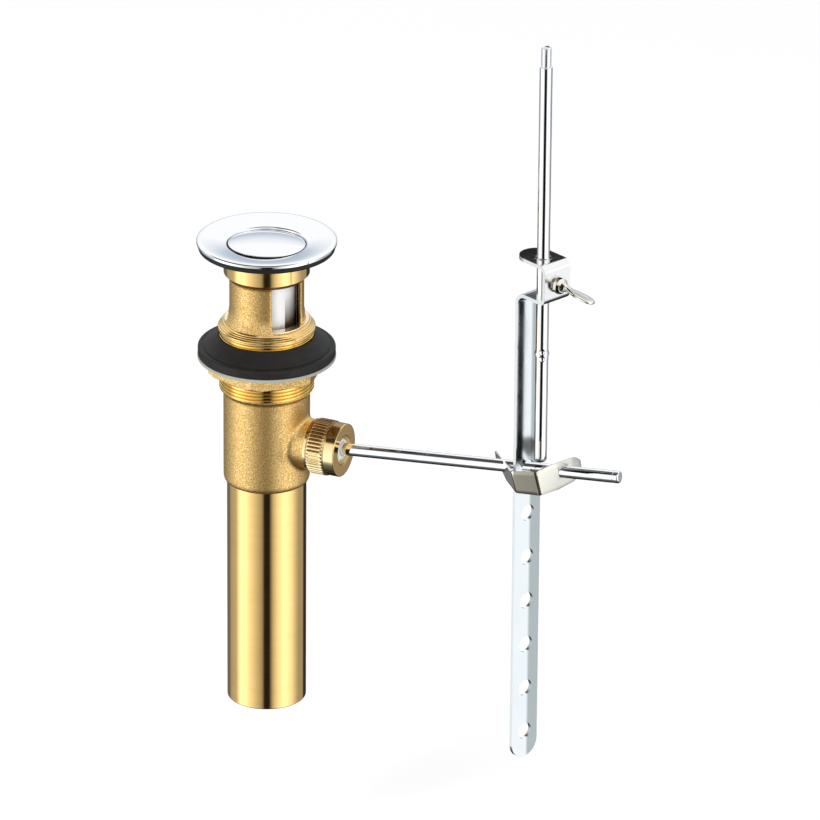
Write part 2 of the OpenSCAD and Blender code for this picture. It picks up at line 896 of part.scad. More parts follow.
// Strap: perforated strip whose top is bent into a bracket for the lift rod
module strap() {
  color("lightsteelblue")
    at_strap()
      difference() {
        union() {
          strap_leg();
          strap_bend(leg_bend_t, z_leg_top, bend_r, 90);
          strap_tab(leg_bend_t, z_tab_low, false);
          strap_bend(front_bend_t, z_tab_low + bracket_bend_r, bracket_bend_r, -90);
          translate([front_face - strap_t, -strap_w / 2, z_tab_low + bracket_bend_r])
            cube([strap_t, strap_w, bracket_h - 2 * bracket_bend_r]);
          strap_bend(front_bend_t, z_tab_high + strap_t - bracket_bend_r, bracket_bend_r, 0);
          strap_tab(tab_round_t, z_tab_high, true);
        }
        translate([front_face - 2 * strap_t, 0, screw_z])
          rotate([0, 90, 0])
            cylinder(r = screw_r + run_fit, h = 3 * strap_t);
      }
}

// Thumb screw: collar and flat wing outside the bracket, tip against the lift rod
module thumb_screw() {
  tip_t = lift_offset + lift_rod_r + free_gap;
  collar_t = front_face + free_gap;
  neck_t = collar_t + screw_collar_l;
  wing_from = neck_t + wing_root - wing_w / 2;
  color("silver")
    at_strap()
      translate([0, 0, screw_z])
        rotate([wing_turn, 0, 0]) {
          rotate([0, 90, 0])
            rotate_extrude()
              polygon([
                [0, tip_t],
                [screw_r - 0.5, tip_t],
                [screw_r, tip_t + 0.5],
                [screw_r, collar_t],
                [screw_collar_r - 0.4, collar_t],
                [screw_collar_r, collar_t + 0.4],
                [screw_collar_r, neck_t - 0.8],
                [screw_collar_r - 0.8, neck_t],
                [wing_t * 0.8, neck_t + screw_neck_l],
                [0, neck_t + screw_neck_l]
              ]);
          translate([wing_from, 0, -wing_t / 2])
            linear_extrude(height = wing_t)
              union() {
                circle(d = wing_w * 0.6);
                translate([0, -wing_w * 0.3]) square([wing_l / 2, wing_w * 0.6]);
                translate([wing_w / 2, 0]) circle(d = wing_w);
                translate([wing_w / 2, -wing_w / 2]) square([wing_l - wing_w, wing_w]);
                translate([wing_l - wing_w / 2, 0]) circle(d = wing_w);
              }
        }
}

// Lift rod: straight rod with a threaded tip for a knob and a punched crimp that stops it in the bracket
module lift_rod() {
  color("silver")
    at_strap()
      translate([lift_offset, 0, 0]) {
        difference() {
          union() {
            rotate_extrude()
              polygon(concat(
                [[0, lift_low]],
                [for (a = [0 : 18 : 90])
                  [lift_rod_r - rod_end_round * (1 - sin(a)), lift_low + rod_end_round * (1 - cos(a))]],
                [
                  [lift_rod_r, lift_top - 0.3],
                  [lift_rod_r - 0.3, lift_top],
                  [tip_r, lift_top],
                  [tip_r, lift_top + tip_l - 0.4],
                  [tip_r - 0.4, lift_top + tip_l],
                  [0, lift_top + tip_l]
                ]
              ));
            translate([0, 0, -crimp_drop - crimp_l / 2])
              rotate([0, 0, crimp_turn])
                intersection() {
                  cylinder(r = lift_rod_r + crimp_ear, h = crimp_l);
                  translate([-1.2, -rod_d, 0]) cube([2.4, 2 * rod_d, crimp_l]);
                }
          }
          for (side = [-1, 1])
            for (row = [-0.5, 0.5])
              translate([0, 0, -crimp_drop + row * crimp_pitch])
                rotate([0, 0, crimp_turn])
                  translate([side * (lift_rod_r + crimp_punch_out), 0, 0])
                    sphere(r = crimp_punch_r, $fn = 48);
        }
      }
}

flange();
flange_gasket();
waste_body();
rubber_washer();
slip_washer();
back_nut();
tail_pipe();
gland_nut();
ball_seat();
ball_washer();
pivot_ball();
pivot_rod();
spring_clip();
plug_cap();
plug_seal();
plug_stem();
plug_foot();
plug_lock_nut();
strap();
thumb_screw();
lift_rod();
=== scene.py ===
# %% [markdown]
# # A pop-up basin waste, dressed for a studio picture
# A pop-up waste is the drain of a wash basin: a chrome flange with a lifting plug sits in the
# basin, a cast brass body and a tail pipe hang below it, and a pivot rod, a perforated strap and
# a lift rod open and close the plug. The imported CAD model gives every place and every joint.
# This lesson dresses it: each piece is either the CAD node with a finish of its own, or a finer
# mesh that stands where the node stands. The part's sizes are in millimetres, and MM turns them
# into metres. The camera, the lamps and the cards are placed in metres.

import math

import bmesh
import bpy
import numpy as np
from mathutils import Matrix, Vector


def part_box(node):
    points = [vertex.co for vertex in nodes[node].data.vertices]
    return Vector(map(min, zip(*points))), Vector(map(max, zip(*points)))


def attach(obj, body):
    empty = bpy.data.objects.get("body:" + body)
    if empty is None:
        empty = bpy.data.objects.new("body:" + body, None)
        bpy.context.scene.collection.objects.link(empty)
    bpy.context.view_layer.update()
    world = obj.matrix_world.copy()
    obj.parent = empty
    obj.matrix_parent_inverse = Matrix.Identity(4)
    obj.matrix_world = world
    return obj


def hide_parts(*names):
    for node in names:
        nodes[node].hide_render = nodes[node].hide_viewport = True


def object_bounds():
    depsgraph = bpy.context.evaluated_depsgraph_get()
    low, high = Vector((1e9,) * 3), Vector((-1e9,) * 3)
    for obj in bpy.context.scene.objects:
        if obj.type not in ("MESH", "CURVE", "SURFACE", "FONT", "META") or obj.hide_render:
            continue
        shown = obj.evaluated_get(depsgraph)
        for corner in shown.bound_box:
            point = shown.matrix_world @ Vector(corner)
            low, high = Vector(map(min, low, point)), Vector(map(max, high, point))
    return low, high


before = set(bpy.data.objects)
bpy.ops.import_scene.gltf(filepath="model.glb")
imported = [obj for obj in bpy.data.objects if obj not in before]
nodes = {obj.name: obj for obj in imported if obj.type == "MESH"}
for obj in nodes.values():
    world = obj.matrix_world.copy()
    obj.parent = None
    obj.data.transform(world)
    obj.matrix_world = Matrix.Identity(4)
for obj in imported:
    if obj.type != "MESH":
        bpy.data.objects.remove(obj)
cad_low, cad_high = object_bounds()
MM = 0.001


def box_mm(node):
    low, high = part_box(node)
    return [x / MM for x in low], [x / MM for x in high]


print("CAD nodes:", len(nodes), "box in mm:", [round(x / MM, 1) for x in cad_high - cad_low])

# %% [markdown]
# The picture was taken with a long lens from above and from the branch's side. The camera first
# looks at the waste's axis, which keeps the pipe upright, and then swings to the middle of the
# picture without rolling. A lens shift would do the same, but it would stay in other views.

# %% Camera
view_turn = math.radians(25)
camera_far, camera_high, lens_mm = 3.0, 1.2761, 360.2
axis_point = Vector((0, 0, -0.075))
picture_middle = Vector((0.0514, 0.0257, -0.0715))

to_camera = Vector((math.sin(view_turn), -math.cos(view_turn), 0))
to_right = Vector((math.cos(view_turn), math.sin(view_turn), 0))
camera = bpy.data.objects.new("camera", bpy.data.cameras.new("camera"))
bpy.context.scene.collection.objects.link(camera)
camera.data.lens = lens_mm
camera.data.sensor_width = 36
camera.data.clip_start, camera.data.clip_end = 0.1, 50
camera.location = to_camera * camera_far + Vector((0, 0, camera_high))
to_axis, to_middle = axis_point - camera.location, picture_middle - camera.location
camera.rotation_mode = "QUATERNION"
camera.rotation_quaternion = to_axis.rotation_difference(to_middle) @ to_axis.to_track_quat("-Z", "Y")
bpy.context.scene.camera = camera
bpy.context.scene.view_settings.view_transform = "Standard"
print("camera looks down by", round(math.degrees(math.asin(-to_middle.normalized().z)), 1), "degrees")

# %% [markdown]
# Node trees are long to write out by hand. One helper makes a node, sets its values and wires
# its inputs. The others are short names for the nodes that come back often: a sum, a colour
# ramp, a mix of two colours and a change of range. The last one starts a material: every finish
# is a Principled shader, and numbers that are the same all over are set on the shader itself.

# %% Node helpers
def wire(tree, value, socket):
    if isinstance(value, bpy.types.NodeSocket):
        tree.links.new(value, socket)
    elif socket.type == "RGBA":
        socket.default_value = (*value, 1)
    else:
        socket.default_value = value


def put(tree, kind, inputs=None, **settings):
    made = tree.nodes.new(kind)
    for key, value in settings.items():
        setattr(made, key, value)
    for socket, value in (inputs or {}).items():
        wire(tree, value, made.inputs[socket])
    return made


def math_node(tree, operation, first, second=0.0):
    return put(tree, "ShaderNodeMath", {0: first, 1: second}, operation=operation).outputs[0]


def ramp(tree, factor, stops):
    made = put(tree, "ShaderNodeValToRGB", {"Fac": factor})
    band = made.color_ramp.elements
    while len(band) < len(stops):
        band.new(0.5)
    for element, (place, colour) in zip(band, stops):
        element.position = place
        grey = isinstance(colour, float)
        element.color = (colour, colour, colour, 1) if grey else (*colour, 1)
    return made.outputs["Color"]


def blend_colour(tree, factor, first, second, way="MIX"):
    inputs = {0: factor, 6: first, 7: second}
    return put(tree, "ShaderNodeMix", inputs, data_type="RGBA", blend_type=way).outputs[2]


def remap(tree, value, start, end, low=0.0, high=1.0):
    limits = {"Value": value, "From Min": start, "From Max": end, "To Min": low, "To Max": high}
    return put(tree, "ShaderNodeMapRange", limits).outputs["Result"]


def new_finish(name, **plain):
    finish = bpy.data.materials.new(name)
    finish.use_nodes = True
    shader = finish.node_tree.nodes["Principled BSDF"]
    for socket, value in plain.items():
        wire(finish.node_tree, value, shader.inputs[socket.replace("_", " ")])
    return finish, finish.node_tree, shader


print("node helpers ready")

# %% [markdown]
# Polished metal shows little of itself: it shows the room. A product photographer stands bright
# sheets left and right and leaves a dark gap where the camera is. Lamps and cards could stand
# for all that, but painting the room into the world by direction gives clean stripes on every
# tube. First comes the direction: its turn from the camera and its height, both from 0 to 1.

# %% Directions in the studio room
world = bpy.data.worlds.new("studio_room")
bpy.context.scene.world = world
world.use_nodes = True
room = world.node_tree
room.nodes.clear()
direction = put(room, "ShaderNodeTexCoord").outputs["Generated"]
front_share = put(room, "ShaderNodeVectorMath", {0: direction, 1: to_camera}, operation="DOT_PRODUCT")
side_share = put(room, "ShaderNodeVectorMath", {0: direction, 1: to_right}, operation="DOT_PRODUCT")
turn = math_node(room, "ARCTAN2", side_share.outputs["Value"], front_share.outputs["Value"])
turn = math_node(room, "ADD", math_node(room, "DIVIDE", turn, 2 * math.pi), 0.5)
height = put(room, "ShaderNodeSeparateXYZ", {0: direction}).outputs["Z"]
height = math_node(room, "ADD", math_node(room, "MULTIPLY", height, 0.5), 0.5)


def by_turn(*stops):
    return ramp(room, turn, [((angle + 180) / 360, colour) for angle, colour in stops])


def by_height(*stops):
    return ramp(room, height, [((math.sin(math.radians(angle)) + 1) / 2, colour) for angle, colour in stops])


print("directions ready")

# %% [markdown]
# The walls hold the bright sheets: one on the left, one on the right, with soft edges, and a
# black gap between them where the photographer stands. Behind the part the room is dim. The sky
# above the sheets is even and a little blue towards the horizon.

# %% Walls and sky
gap_black = (0.020, 0.018, 0.019)
dim_grey = (0.22, 0.22, 0.23)
walls = by_turn(
    (-180, dim_grey),
    (-160, (0.16, 0.16, 0.17)),
    (-136, (0.20, 0.20, 0.21)),
    (-130, (0.42, 0.44, 0.47)),
    (-100, (0.62, 0.64, 0.66)),
    (-92, (1.15, 1.15, 1.15)),
    (-80, (2.00, 2.00, 1.97)),
    (-64, (1.80, 1.80, 1.77)),
    (-50, (1.25, 1.25, 1.23)),
    (-31, (0.78, 0.78, 0.76)),
    (-14, (0.42, 0.42, 0.41)),
    (-7, gap_black),
    (8, gap_black),
    (20, (0.72, 0.72, 0.71)),
    (38, (1.40, 1.40, 1.38)),
    (52, (1.90, 1.90, 1.88)),
    (68, (1.55, 1.55, 1.55)),
    (80, (1.18, 1.20, 1.22)),
    (92, (0.76, 0.79, 0.82)),
    (106, (0.44, 0.46, 0.48)),
    (130, (0.40, 0.40, 0.40)),
    (136, (0.03, 0.03, 0.03)),
    (160, (0.04, 0.04, 0.04)),
    (168, dim_grey),
)
sky = by_height(
    (-16, (0.34, 0.40, 0.47)),
    (0, (0.45, 0.52, 0.60)),
    (9, (0.58, 0.65, 0.72)),
    (17, (0.90, 0.93, 0.96)),
    (24, (1.08, 1.08, 1.08)),
    (60, (1.10, 1.10, 1.10)),
)
print("walls and sky painted")

# %% [markdown]
# Masks put these together. The sky starts above the walls, and lower down behind the part. The
# gap runs up a little way into it. The ground straight below, the ceiling straight above and a
# boom over the left side are dark, because bright ones would wash out the edges of the chrome.
# Matte surfaces only get an even light, and the camera itself sees white.

# %% Room put together
boom_dark = 0.93
even_light = (0.72, 0.72, 0.73)
white = (1.0, 1.0, 1.0)

behind = by_turn((-115, 1.0), (-85, 0.0), (85, 0.0), (115, 1.0))
low_back = by_height((-18, 0.0), (-10, 1.0))
high_up = by_height((14, 0.0), (30, 1.0))
in_the_sky = math_node(room, "MAXIMUM", high_up, math_node(room, "MULTIPLY", behind, low_back))
gap = by_turn((-10.5, 1.0), (-8, 0.0), (10.5, 0.0), (13, 1.0))
sky_gap = math_node(room, "MAXIMUM", gap, by_height((12, 0.0), (22, 1.0)))
ground = by_height((-60, (0.05, 0.055, 0.06)), (-50, 0.10), (-39, 0.36), (-32, 1.0))
boom = by_turn((-160, 0.0), (-146, 1.0), (-40, 1.0), (-28, 0.0))
boom = math_node(room, "MULTIPLY", boom, by_height((36, 0.0), (44, 1.0)))
overhead = math_node(room, "MAXIMUM", boom, by_height((60, 0.0), (70, 1.0)))
overhead_shade = math_node(room, "SUBTRACT", 1.0, math_node(room, "MULTIPLY", overhead, boom_dark))

studio = blend_colour(room, in_the_sky, walls, blend_colour(room, 1.0, sky, sky_gap, "MULTIPLY"))
for shade in (ground, overhead_shade):
    studio = blend_colour(room, 1.0, studio, shade, "MULTIPLY")
rays = put(room, "ShaderNodeLightPath").outputs
shown = blend_colour(room, rays["Is Diffuse Ray"], studio, even_light)
shown = blend_colour(room, rays["Is Camera Ray"], shown, white)
backdrop = put(room, "ShaderNodeBackground", {"Color": shown, "Strength": 1.0})
put(room, "ShaderNodeOutputWorld", {"Surface": backdrop.outputs[0]})
print("studio room painted with", len(room.nodes), "nodes")

# %% [markdown]
# Two soft boxes give matte surfaces a light side and a shadow, and a pale floor below the
# hanging strap catches it. The floor leaves a little room because the strap moves down. Its
# mirror image is left out of the metal, where the room's bright sheets stand instead.

# %% Floor and lamps
floor_drop, floor_wide = 0.06, 12.0
lamp_target = Vector((0.03, 0, -0.05))


def soft_box(name, forward, right, up, width, power):
    lamp = bpy.data.lights.new(name, "AREA")
    lamp.shape, lamp.size, lamp.energy = "DISK", width, power
    box = bpy.data.objects.new(name, lamp)
    bpy.context.scene.collection.objects.link(box)
    box.location = to_camera * forward + to_right * right + Vector((0, 0, up))
    box.rotation_mode = "QUATERNION"
    box.rotation_quaternion = (lamp_target - box.location).to_track_quat("-Z", "Y")
    box.visible_glossy = False


def flat_sheet(name, wide, tall, finish):
    form = bmesh.new()
    bmesh.ops.create_grid(form, x_segments=1, y_segments=1, size=0.5)
    bmesh.ops.scale(form, vec=(wide, tall, 1), verts=form.verts)
    mesh = bpy.data.meshes.new(name)
    form.to_mesh(mesh)
    form.free()
    mesh.materials.append(finish)
    sheet = bpy.data.objects.new(name, mesh)
    bpy.context.scene.collection.objects.link(sheet)
    return sheet


soft_box("key_box", 0.9, -1.1, 1.1, 0.9, 9)
soft_box("fill_box", 0.7, 1.2, 0.7, 0.8, 3)
paper, _, _ = new_finish("floor_paper", Base_Color=(0.92, 0.92, 0.92), Roughness=0.9, Specular_IOR_Level=0.0,
                         Emission_Color=white, Emission_Strength=0.2)
floor = flat_sheet("floor", floor_wide, floor_wide, paper)
floor.location.z = cad_low.z - floor_drop
floor.visible_glossy = False
print("floor lies", round((cad_low.z - floor.location.z) / MM), "mm below the strap")

# %% [markdown]
# Finishes share a few effects, and each is built once as a node group that gives out masks and
# heights. The first is the grain of sand-blasted brass. Noise alone looks like cloth, and cells
# alone look like scales, so the two are mixed. Every material sets its own size of grain.

# %% Shared effect: blasted grain
def new_group(name, inputs, outputs):
    group = bpy.data.node_groups.new(name, "ShaderNodeTree")
    for socket, start in inputs.items():
        made = group.interface.new_socket(socket, in_out="INPUT", socket_type="NodeSocketFloat")
        made.default_value = start
    for socket in outputs:
        group.interface.new_socket(socket, in_out="OUTPUT", socket_type="NodeSocketFloat")
    return group, put(group, "NodeGroupInput").outputs, put(group, "NodeGroupOutput").inputs


def noise(tree, inputs, **settings):
    return put(tree, "ShaderNodeTexNoise", inputs, **settings).outputs["Fac"]


def cells(tree, place, scale):
    return put(tree, "ShaderNodeTexVoronoi", {"Vector": place, "Scale": scale}).outputs["Distance"]


def weighed(tree, first, share, second):
    one, other = math_node(tree, "MULTIPLY", first, share), math_node(tree, "MULTIPLY", second, 1 - share)
    return math_node(tree, "ADD", one, other)


blasted, given, wanted = new_group("blasted_grain", {"Grains": 1800.0, "Clouds": 90.0},
                                   ["Height", "Speckle", "Cloud"])
place = put(blasted, "ShaderNodeTexCoord").outputs["Object"]
pits = noise(blasted, {"Vector": place, "Scale": given["Grains"], "Detail": 3.0, "Roughness": 0.62})
dents = weighed(blasted, pits, 0.65, cells(blasted, place, given["Grains"]))
cloud = noise(blasted, {"Vector": place, "Scale": given["Clouds"], "Detail": 2.0})
wire(blasted, dents, wanted["Height"])
wire(blasted, remap(blasted, dents, 0.40, 0.62), wanted["Speckle"])
wire(blasted, cloud, wanted["Cloud"])
print("group", blasted.name)

# %% [markdown]
# A lathe, a rolling mill or a drawing die leaves fine lines across one direction. A noise in one
# dimension, read along that direction, gives lines that never end. Fine and coarse ones are
# added, because real tool lines come in both sizes.

# %% Shared effect: tool lines
lines, given, wanted = new_group("tool_lines", {"Along": 0.0, "Fine": 9000.0, "Coarse": 900.0},
                                 ["Height", "Shade"])


def line_noise(size, detail):
    along = math_node(lines, "MULTIPLY", given["Along"], given[size])
    return noise(lines, {"W": along, "Scale": 1.0, "Detail": detail}, noise_dimensions="1D")


scratches = weighed(lines, line_noise("Fine", 1.0), 0.6, line_noise("Coarse", 2.0))
wire(lines, scratches, wanted["Height"])
wire(lines, remap(lines, scratches, 0.35, 0.65), wanted["Shade"])
print("group", lines.name)

# %% [markdown]
# Hands leave cloudy marks and dust leaves specks. A bent noise makes the clouds, and the middles
# of a cell pattern make the specks. Painted dirt would need an image, and this needs none.

# %% Shared effect: handling marks
marks, given, wanted = new_group("handling_marks", {"Size": 60.0, "Specks": 900.0}, ["Cloud", "Speck"])
place = put(marks, "ShaderNodeTexCoord").outputs["Object"]
cloud = noise(marks, {"Vector": place, "Scale": given["Size"], "Detail": 4.0, "Distortion": 0.6})
wire(marks, remap(marks, cloud, 0.3, 0.7), wanted["Cloud"])
wire(marks, remap(marks, cells(marks, place, given["Specks"]), 0.12, 0.0), wanted["Speck"])
print("group", marks.name)

# %% [markdown]
# Colours and gloss that vary come from the groups. These helpers place a group in a material,
# turn a mask into a share or a roughness, turn a height into a bump, and read a place on the
# piece. Bump only carries the fine grain here: anything larger is modelled.

# %% Material helpers
def use_group(tree, group, **values):
    return put(tree, "ShaderNodeGroup", values, node_tree=group).outputs


def vary(tree, mask, low, high):
    return remap(tree, mask, 0.0, 1.0, low, high)


def raise_bump(tree, shader, grain_height, depth_mm, strength=1.0):
    relief = {"Height": grain_height, "Distance": depth_mm * MM, "Strength": strength}
    bump = put(tree, "ShaderNodeBump", relief)
    wire(tree, bump.outputs["Normal"], shader.inputs["Normal"])


def axis_of(tree, letter):
    place = put(tree, "ShaderNodeTexCoord").outputs["Object"]
    return put(tree, "ShaderNodeSeparateXYZ", {0: place}).outputs[letter]


print("material helpers ready")

# %% [markdown]
# Sand-blasted brass covers the neck, the barrel, the boss and the back nut. Each tiny dent
# catches the light at its own angle, so it glitters from pale gold to brown at arm's length. A
# bump alone would look like plaster, so the grain also moves the colour and the roughness. A
# dark version is painted shade, for the inside and for undercuts, where shade falls.

# %% Finish: blasted brass
cloud_brown = (0.62, 0.42, 0.15)


def blasted_brass(name, pale, brown, grains):
    finish, tree, shader = new_finish(name, Metallic=1.0)
    grain = use_group(tree, blasted, Grains=grains, Clouds=120.0)
    tone = blend_colour(tree, grain["Speckle"], brown, pale)
    deep = blend_colour(tree, vary(tree, grain["Cloud"], 0.0, 0.35), tone, cloud_brown, "MULTIPLY")
    wire(tree, blend_colour(tree, 0.25, tone, deep), shader.inputs["Base Color"])
    wire(tree, vary(tree, grain["Speckle"], 0.50, 0.34), shader.inputs["Roughness"])
    raise_bump(tree, shader, grain["Height"], 0.12)
    return finish


cast_brass = blasted_brass("cast_brass", (1.0, 0.80, 0.38), (0.68, 0.35, 0.07), 2300.0)
# Painted shade: a dark brass for the inside, the undercuts and the nut's upper grooves.
shade_brass = blasted_brass("cast_brass_painted_shade", (0.34, 0.21, 0.09), (0.16, 0.09, 0.04), 1900.0)
print("finishes", cast_brass.name, shade_brass.name)

# %% [markdown]
# Machined brass is the same metal after a lathe or a polishing wheel: a smooth mirror with fine
# lines around it. The lines run across the axis, so the group reads the place along the axis,
# which is Z on the waste and X on the branch.

# %% Finish: machined brass
def machined_brass(name, colour, dull, rough, letter="Z", fine=9000.0, coarse=1500.0, depth_mm=0.002):
    finish, tree, shader = new_finish(name, Metallic=1.0)
    cut = use_group(tree, lines, Along=axis_of(tree, letter), Fine=fine, Coarse=coarse)
    worn = use_group(tree, marks, Size=70.0, Specks=700.0)
    tone = blend_colour(tree, vary(tree, cut["Shade"], 0.0, 0.35), colour, dull)
    tone = blend_colour(tree, vary(tree, worn["Cloud"], 0.0, 0.25), tone, dull)
    wire(tree, tone, shader.inputs["Base Color"])
    wire(tree, vary(tree, worn["Cloud"], rough, rough * 1.6), shader.inputs["Roughness"])
    raise_bump(tree, shader, cut["Height"], depth_mm, 0.5)
    return finish


polish_mm = 0.0006
tube_brass = machined_brass("polished_brass", (0.91, 0.63, 0.26), (0.80, 0.51, 0.17), 0.08,
                            fine=4000.0, coarse=300.0, depth_mm=polish_mm)
gland_brass = machined_brass("turned_brass_gland", (0.90, 0.62, 0.25), (0.72, 0.45, 0.14), 0.07, "X",
                             depth_mm=polish_mm)
turned_ring_brass = machined_brass("turned_brass_ring", (0.92, 0.65, 0.27), (0.76, 0.48, 0.15), 0.10)
thread_brass = machined_brass("thread_brass", (0.96, 0.66, 0.20), (0.74, 0.44, 0.10), 0.08)
shelf_brass = machined_brass("turned_brass_shelf", (0.98, 0.86, 0.60), (0.86, 0.68, 0.40), 0.20)
for finish in (tube_brass, gland_brass, turned_ring_brass, thread_brass, shelf_brass):
    print("finish", finish.name)

# %% [markdown]
# Chrome is a thin hard mirror, a little blue against brass. Wiping leaves faint clouds in its
# gloss. The strap and the clip are plated or rolled strip and the screw is plated too: the same
# idea with more grain, so one function makes them all. The clip's folds get a dark version of
# its nickel, a painted shade. The plug's stem is satin and only part metal, because it looks
# paler than chrome.

# %% Finish: plated metals
def plated(name, colour, dull, rough, letter, fine, depth_mm, metal=1.0):
    finish, tree, shader = new_finish(name, Metallic=metal)
    rolled = use_group(tree, lines, Along=axis_of(tree, letter), Fine=fine, Coarse=fine / 9)
    worn = use_group(tree, marks, Size=55.0, Specks=500.0)
    tone = blend_colour(tree, vary(tree, rolled["Shade"], 0.0, 0.3), colour, dull)
    tone = blend_colour(tree, vary(tree, worn["Speck"], 0.0, 0.5), tone, dull)
    wire(tree, tone, shader.inputs["Base Color"])
    wire(tree, vary(tree, worn["Cloud"], rough, rough * 1.7), shader.inputs["Roughness"])
    raise_bump(tree, shader, rolled["Height"], depth_mm, 0.4)
    return finish


strip_mm = 0.0016
chrome = plated("chrome_plate", (0.90, 0.91, 0.93), (0.84, 0.86, 0.89), 0.035, "Z", 2500.0, 0.0002)
satin_chrome = plated("satin_chrome", (0.95, 0.94, 0.92), (0.88, 0.86, 0.83), 0.26, "Z", 2500.0, 0.0004, 0.3)
strap_plate = plated("plated_steel", (0.88, 0.92, 0.94), (0.80, 0.86, 0.89), 0.15, "Y", 5000.0, 0.0010)
clip_nickel = plated("nickel_strip", (0.86, 0.85, 0.80), (0.74, 0.73, 0.67), 0.18, "Z", 6000.0, strip_mm)
# Painted shade: the dark nickel for the creases of the clip's folds.
fold_shade_nickel = plated("fold_shade_nickel", (0.12, 0.10, 0.08), (0.07, 0.06, 0.05), 0.30, "Z", 6000.0, strip_mm)
screw_nickel = plated("screw_nickel", (0.88, 0.85, 0.76), (0.66, 0.60, 0.46), 0.07, "Z", 6000.0, strip_mm)
for finish in (chrome, satin_chrome, strap_plate, clip_nickel, fold_shade_nickel, screw_nickel):
    print("finish", finish.name)

# %% [markdown]
# Three of these finishes change over the piece, by painted light and shade. The strap's plating is
# bluish; its bracket is painted a neutral grey for the white light on it, and one side of the leg
# is painted darker, a painted shade. The clip's front is painted darker than its arms, its left
# tongue paler and its right arm a little darker: painted shade and light on each face. Painted
# shade darkens the low end of the plug's stem between its ribs, deep in the neck. Vertex colours
# could carry this too, but a place read in the material needs no dense mesh.

# %% Finish: painted light and shade on plating
def tint(finish, factor, colour):
    tree = finish.node_tree
    base = tree.nodes["Principled BSDF"].inputs["Base Color"]
    wire(tree, blend_colour(tree, factor, base.links[0].from_socket, colour), base)


def between(tree, value, start_mm, end_mm):
    return remap(tree, value, start_mm * MM, end_mm * MM)


strap_x, strap_turn = 113.6, math.radians(-24)
tree = strap_plate.node_tree
across = math_node(tree, "ADD", math_node(tree, "MULTIPLY", axis_of(tree, "X"), -math.sin(strap_turn)),
                   math_node(tree, "MULTIPLY", axis_of(tree, "Y"), math.cos(strap_turn)))
leg_middle = -strap_x * math.sin(strap_turn)
# Painted shade: one side of the strap's leg is painted darker.
painted_shade_side = between(tree, across, leg_middle + 0.6, leg_middle + 1.8)
tint(strap_plate, math_node(tree, "MULTIPLY", painted_shade_side, 0.97), (0.42, 0.47, 0.48))
# Painted light: the bracket above the leg is painted a neutral grey for the white light on its face.
tint(strap_plate, between(tree, axis_of(tree, "Z"), 1.5, 5.0), (0.87, 0.87, 0.87))

left_fold, right_fold, soft_edge = 113.0, 123.3, 0.3
tree = clip_nickel.node_tree
along_clip = axis_of(tree, "X")
past_left = between(tree, along_clip, left_fold - soft_edge, left_fold + soft_edge)
before_right = between(tree, along_clip, right_fold + soft_edge, right_fold - soft_edge)
right_arm = between(tree, along_clip, right_fold - soft_edge, right_fold + soft_edge)
# Painted shade and light: the front facet is painted darker, the right arm a little darker and the left
# tongue paler.
tint(clip_nickel, math_node(tree, "MULTIPLY", past_left, before_right), (0.37, 0.355, 0.285))
tint(clip_nickel, math_node(tree, "MULTIPLY", right_arm, 0.6), (0.58, 0.57, 0.49))
tint(clip_nickel, between(tree, along_clip, left_fold, left_fold - 2 * soft_edge), (1.0, 0.99, 0.94))

tree = satin_chrome.node_tree
place = put(tree, "ShaderNodeTexCoord").outputs["Object"]
flat = put(tree, "ShaderNodeVectorMath", {0: place, 1: (1.0, 1.0, 0.0)}, operation="MULTIPLY").outputs[0]
out = put(tree, "ShaderNodeVectorMath", {0: flat}, operation="LENGTH").outputs["Value"]
# Painted shade: between its ribs the stem is painted dark brown towards its low end.
between_ribs, low_end = between(tree, out, 11.9, 11.75), between(tree, axis_of(tree, "Z"), -17.0, -29.0)
tint(satin_chrome, math_node(tree, "MULTIPLY", between_ribs, low_end), (0.10, 0.06, 0.035))
print("painted_light_on", strap_plate.name, clip_nickel.name, satin_chrome.name)

# %% [markdown]
# Rubber is near black and dull, with pale bloom and a few dust specks. The slip washer, the ball
# with its rings and the plug's foot are plastic, which keeps a faint ripple and a soft gloss.
# All of these come out of a mould, so one function makes their finishes.

# %% Finish: rubber and plastics
def moulded(name, colour, pale, rough, ripple_mm, bloom, gloss):
    finish, tree, shader = new_finish(name, Metallic=0.0, Specular_IOR_Level=gloss)
    worn = use_group(tree, marks, Size=140.0, Specks=420.0)
    grain = use_group(tree, blasted, Grains=2200.0, Clouds=60.0)
    tone = blend_colour(tree, vary(tree, worn["Cloud"], 0.0, bloom), colour, pale)
    tone = blend_colour(tree, vary(tree, worn["Speck"], 0.0, bloom), tone, pale)
    wire(tree, tone, shader.inputs["Base Color"])
    wire(tree, vary(tree, grain["Cloud"], rough * 0.85, rough * 1.15), shader.inputs["Roughness"])
    raise_bump(tree, shader, grain["Height"], ripple_mm, 0.6)
    return finish


rubber = moulded("black_rubber", (0.010, 0.009, 0.0085), (0.030, 0.028, 0.027), 0.55, 0.03, 0.40, 0.30)
grey_plastic = moulded("grey_plastic", (0.40, 0.41, 0.35), (0.52, 0.53, 0.47), 0.42, 0.015, 0.3, 0.4)
white_plastic = moulded("white_plastic", (0.92, 0.92, 0.91), (0.84, 0.83, 0.80), 0.25, 0.008, 0.2, 0.5)
print("finishes", rubber.name, grey_plastic.name, white_plastic.name)

# %% [markdown]
# Most pieces of a waste are turned: an outline spun about an axis. Real edges are never sharp.
# A bevel modifier could round them, but rounding the corners of the outline is exact: each gets
# an arc, with a close pair of points that keeps the shading of the flat faces flat. A corner is
# (radius, height) or (radius, height, rounding).

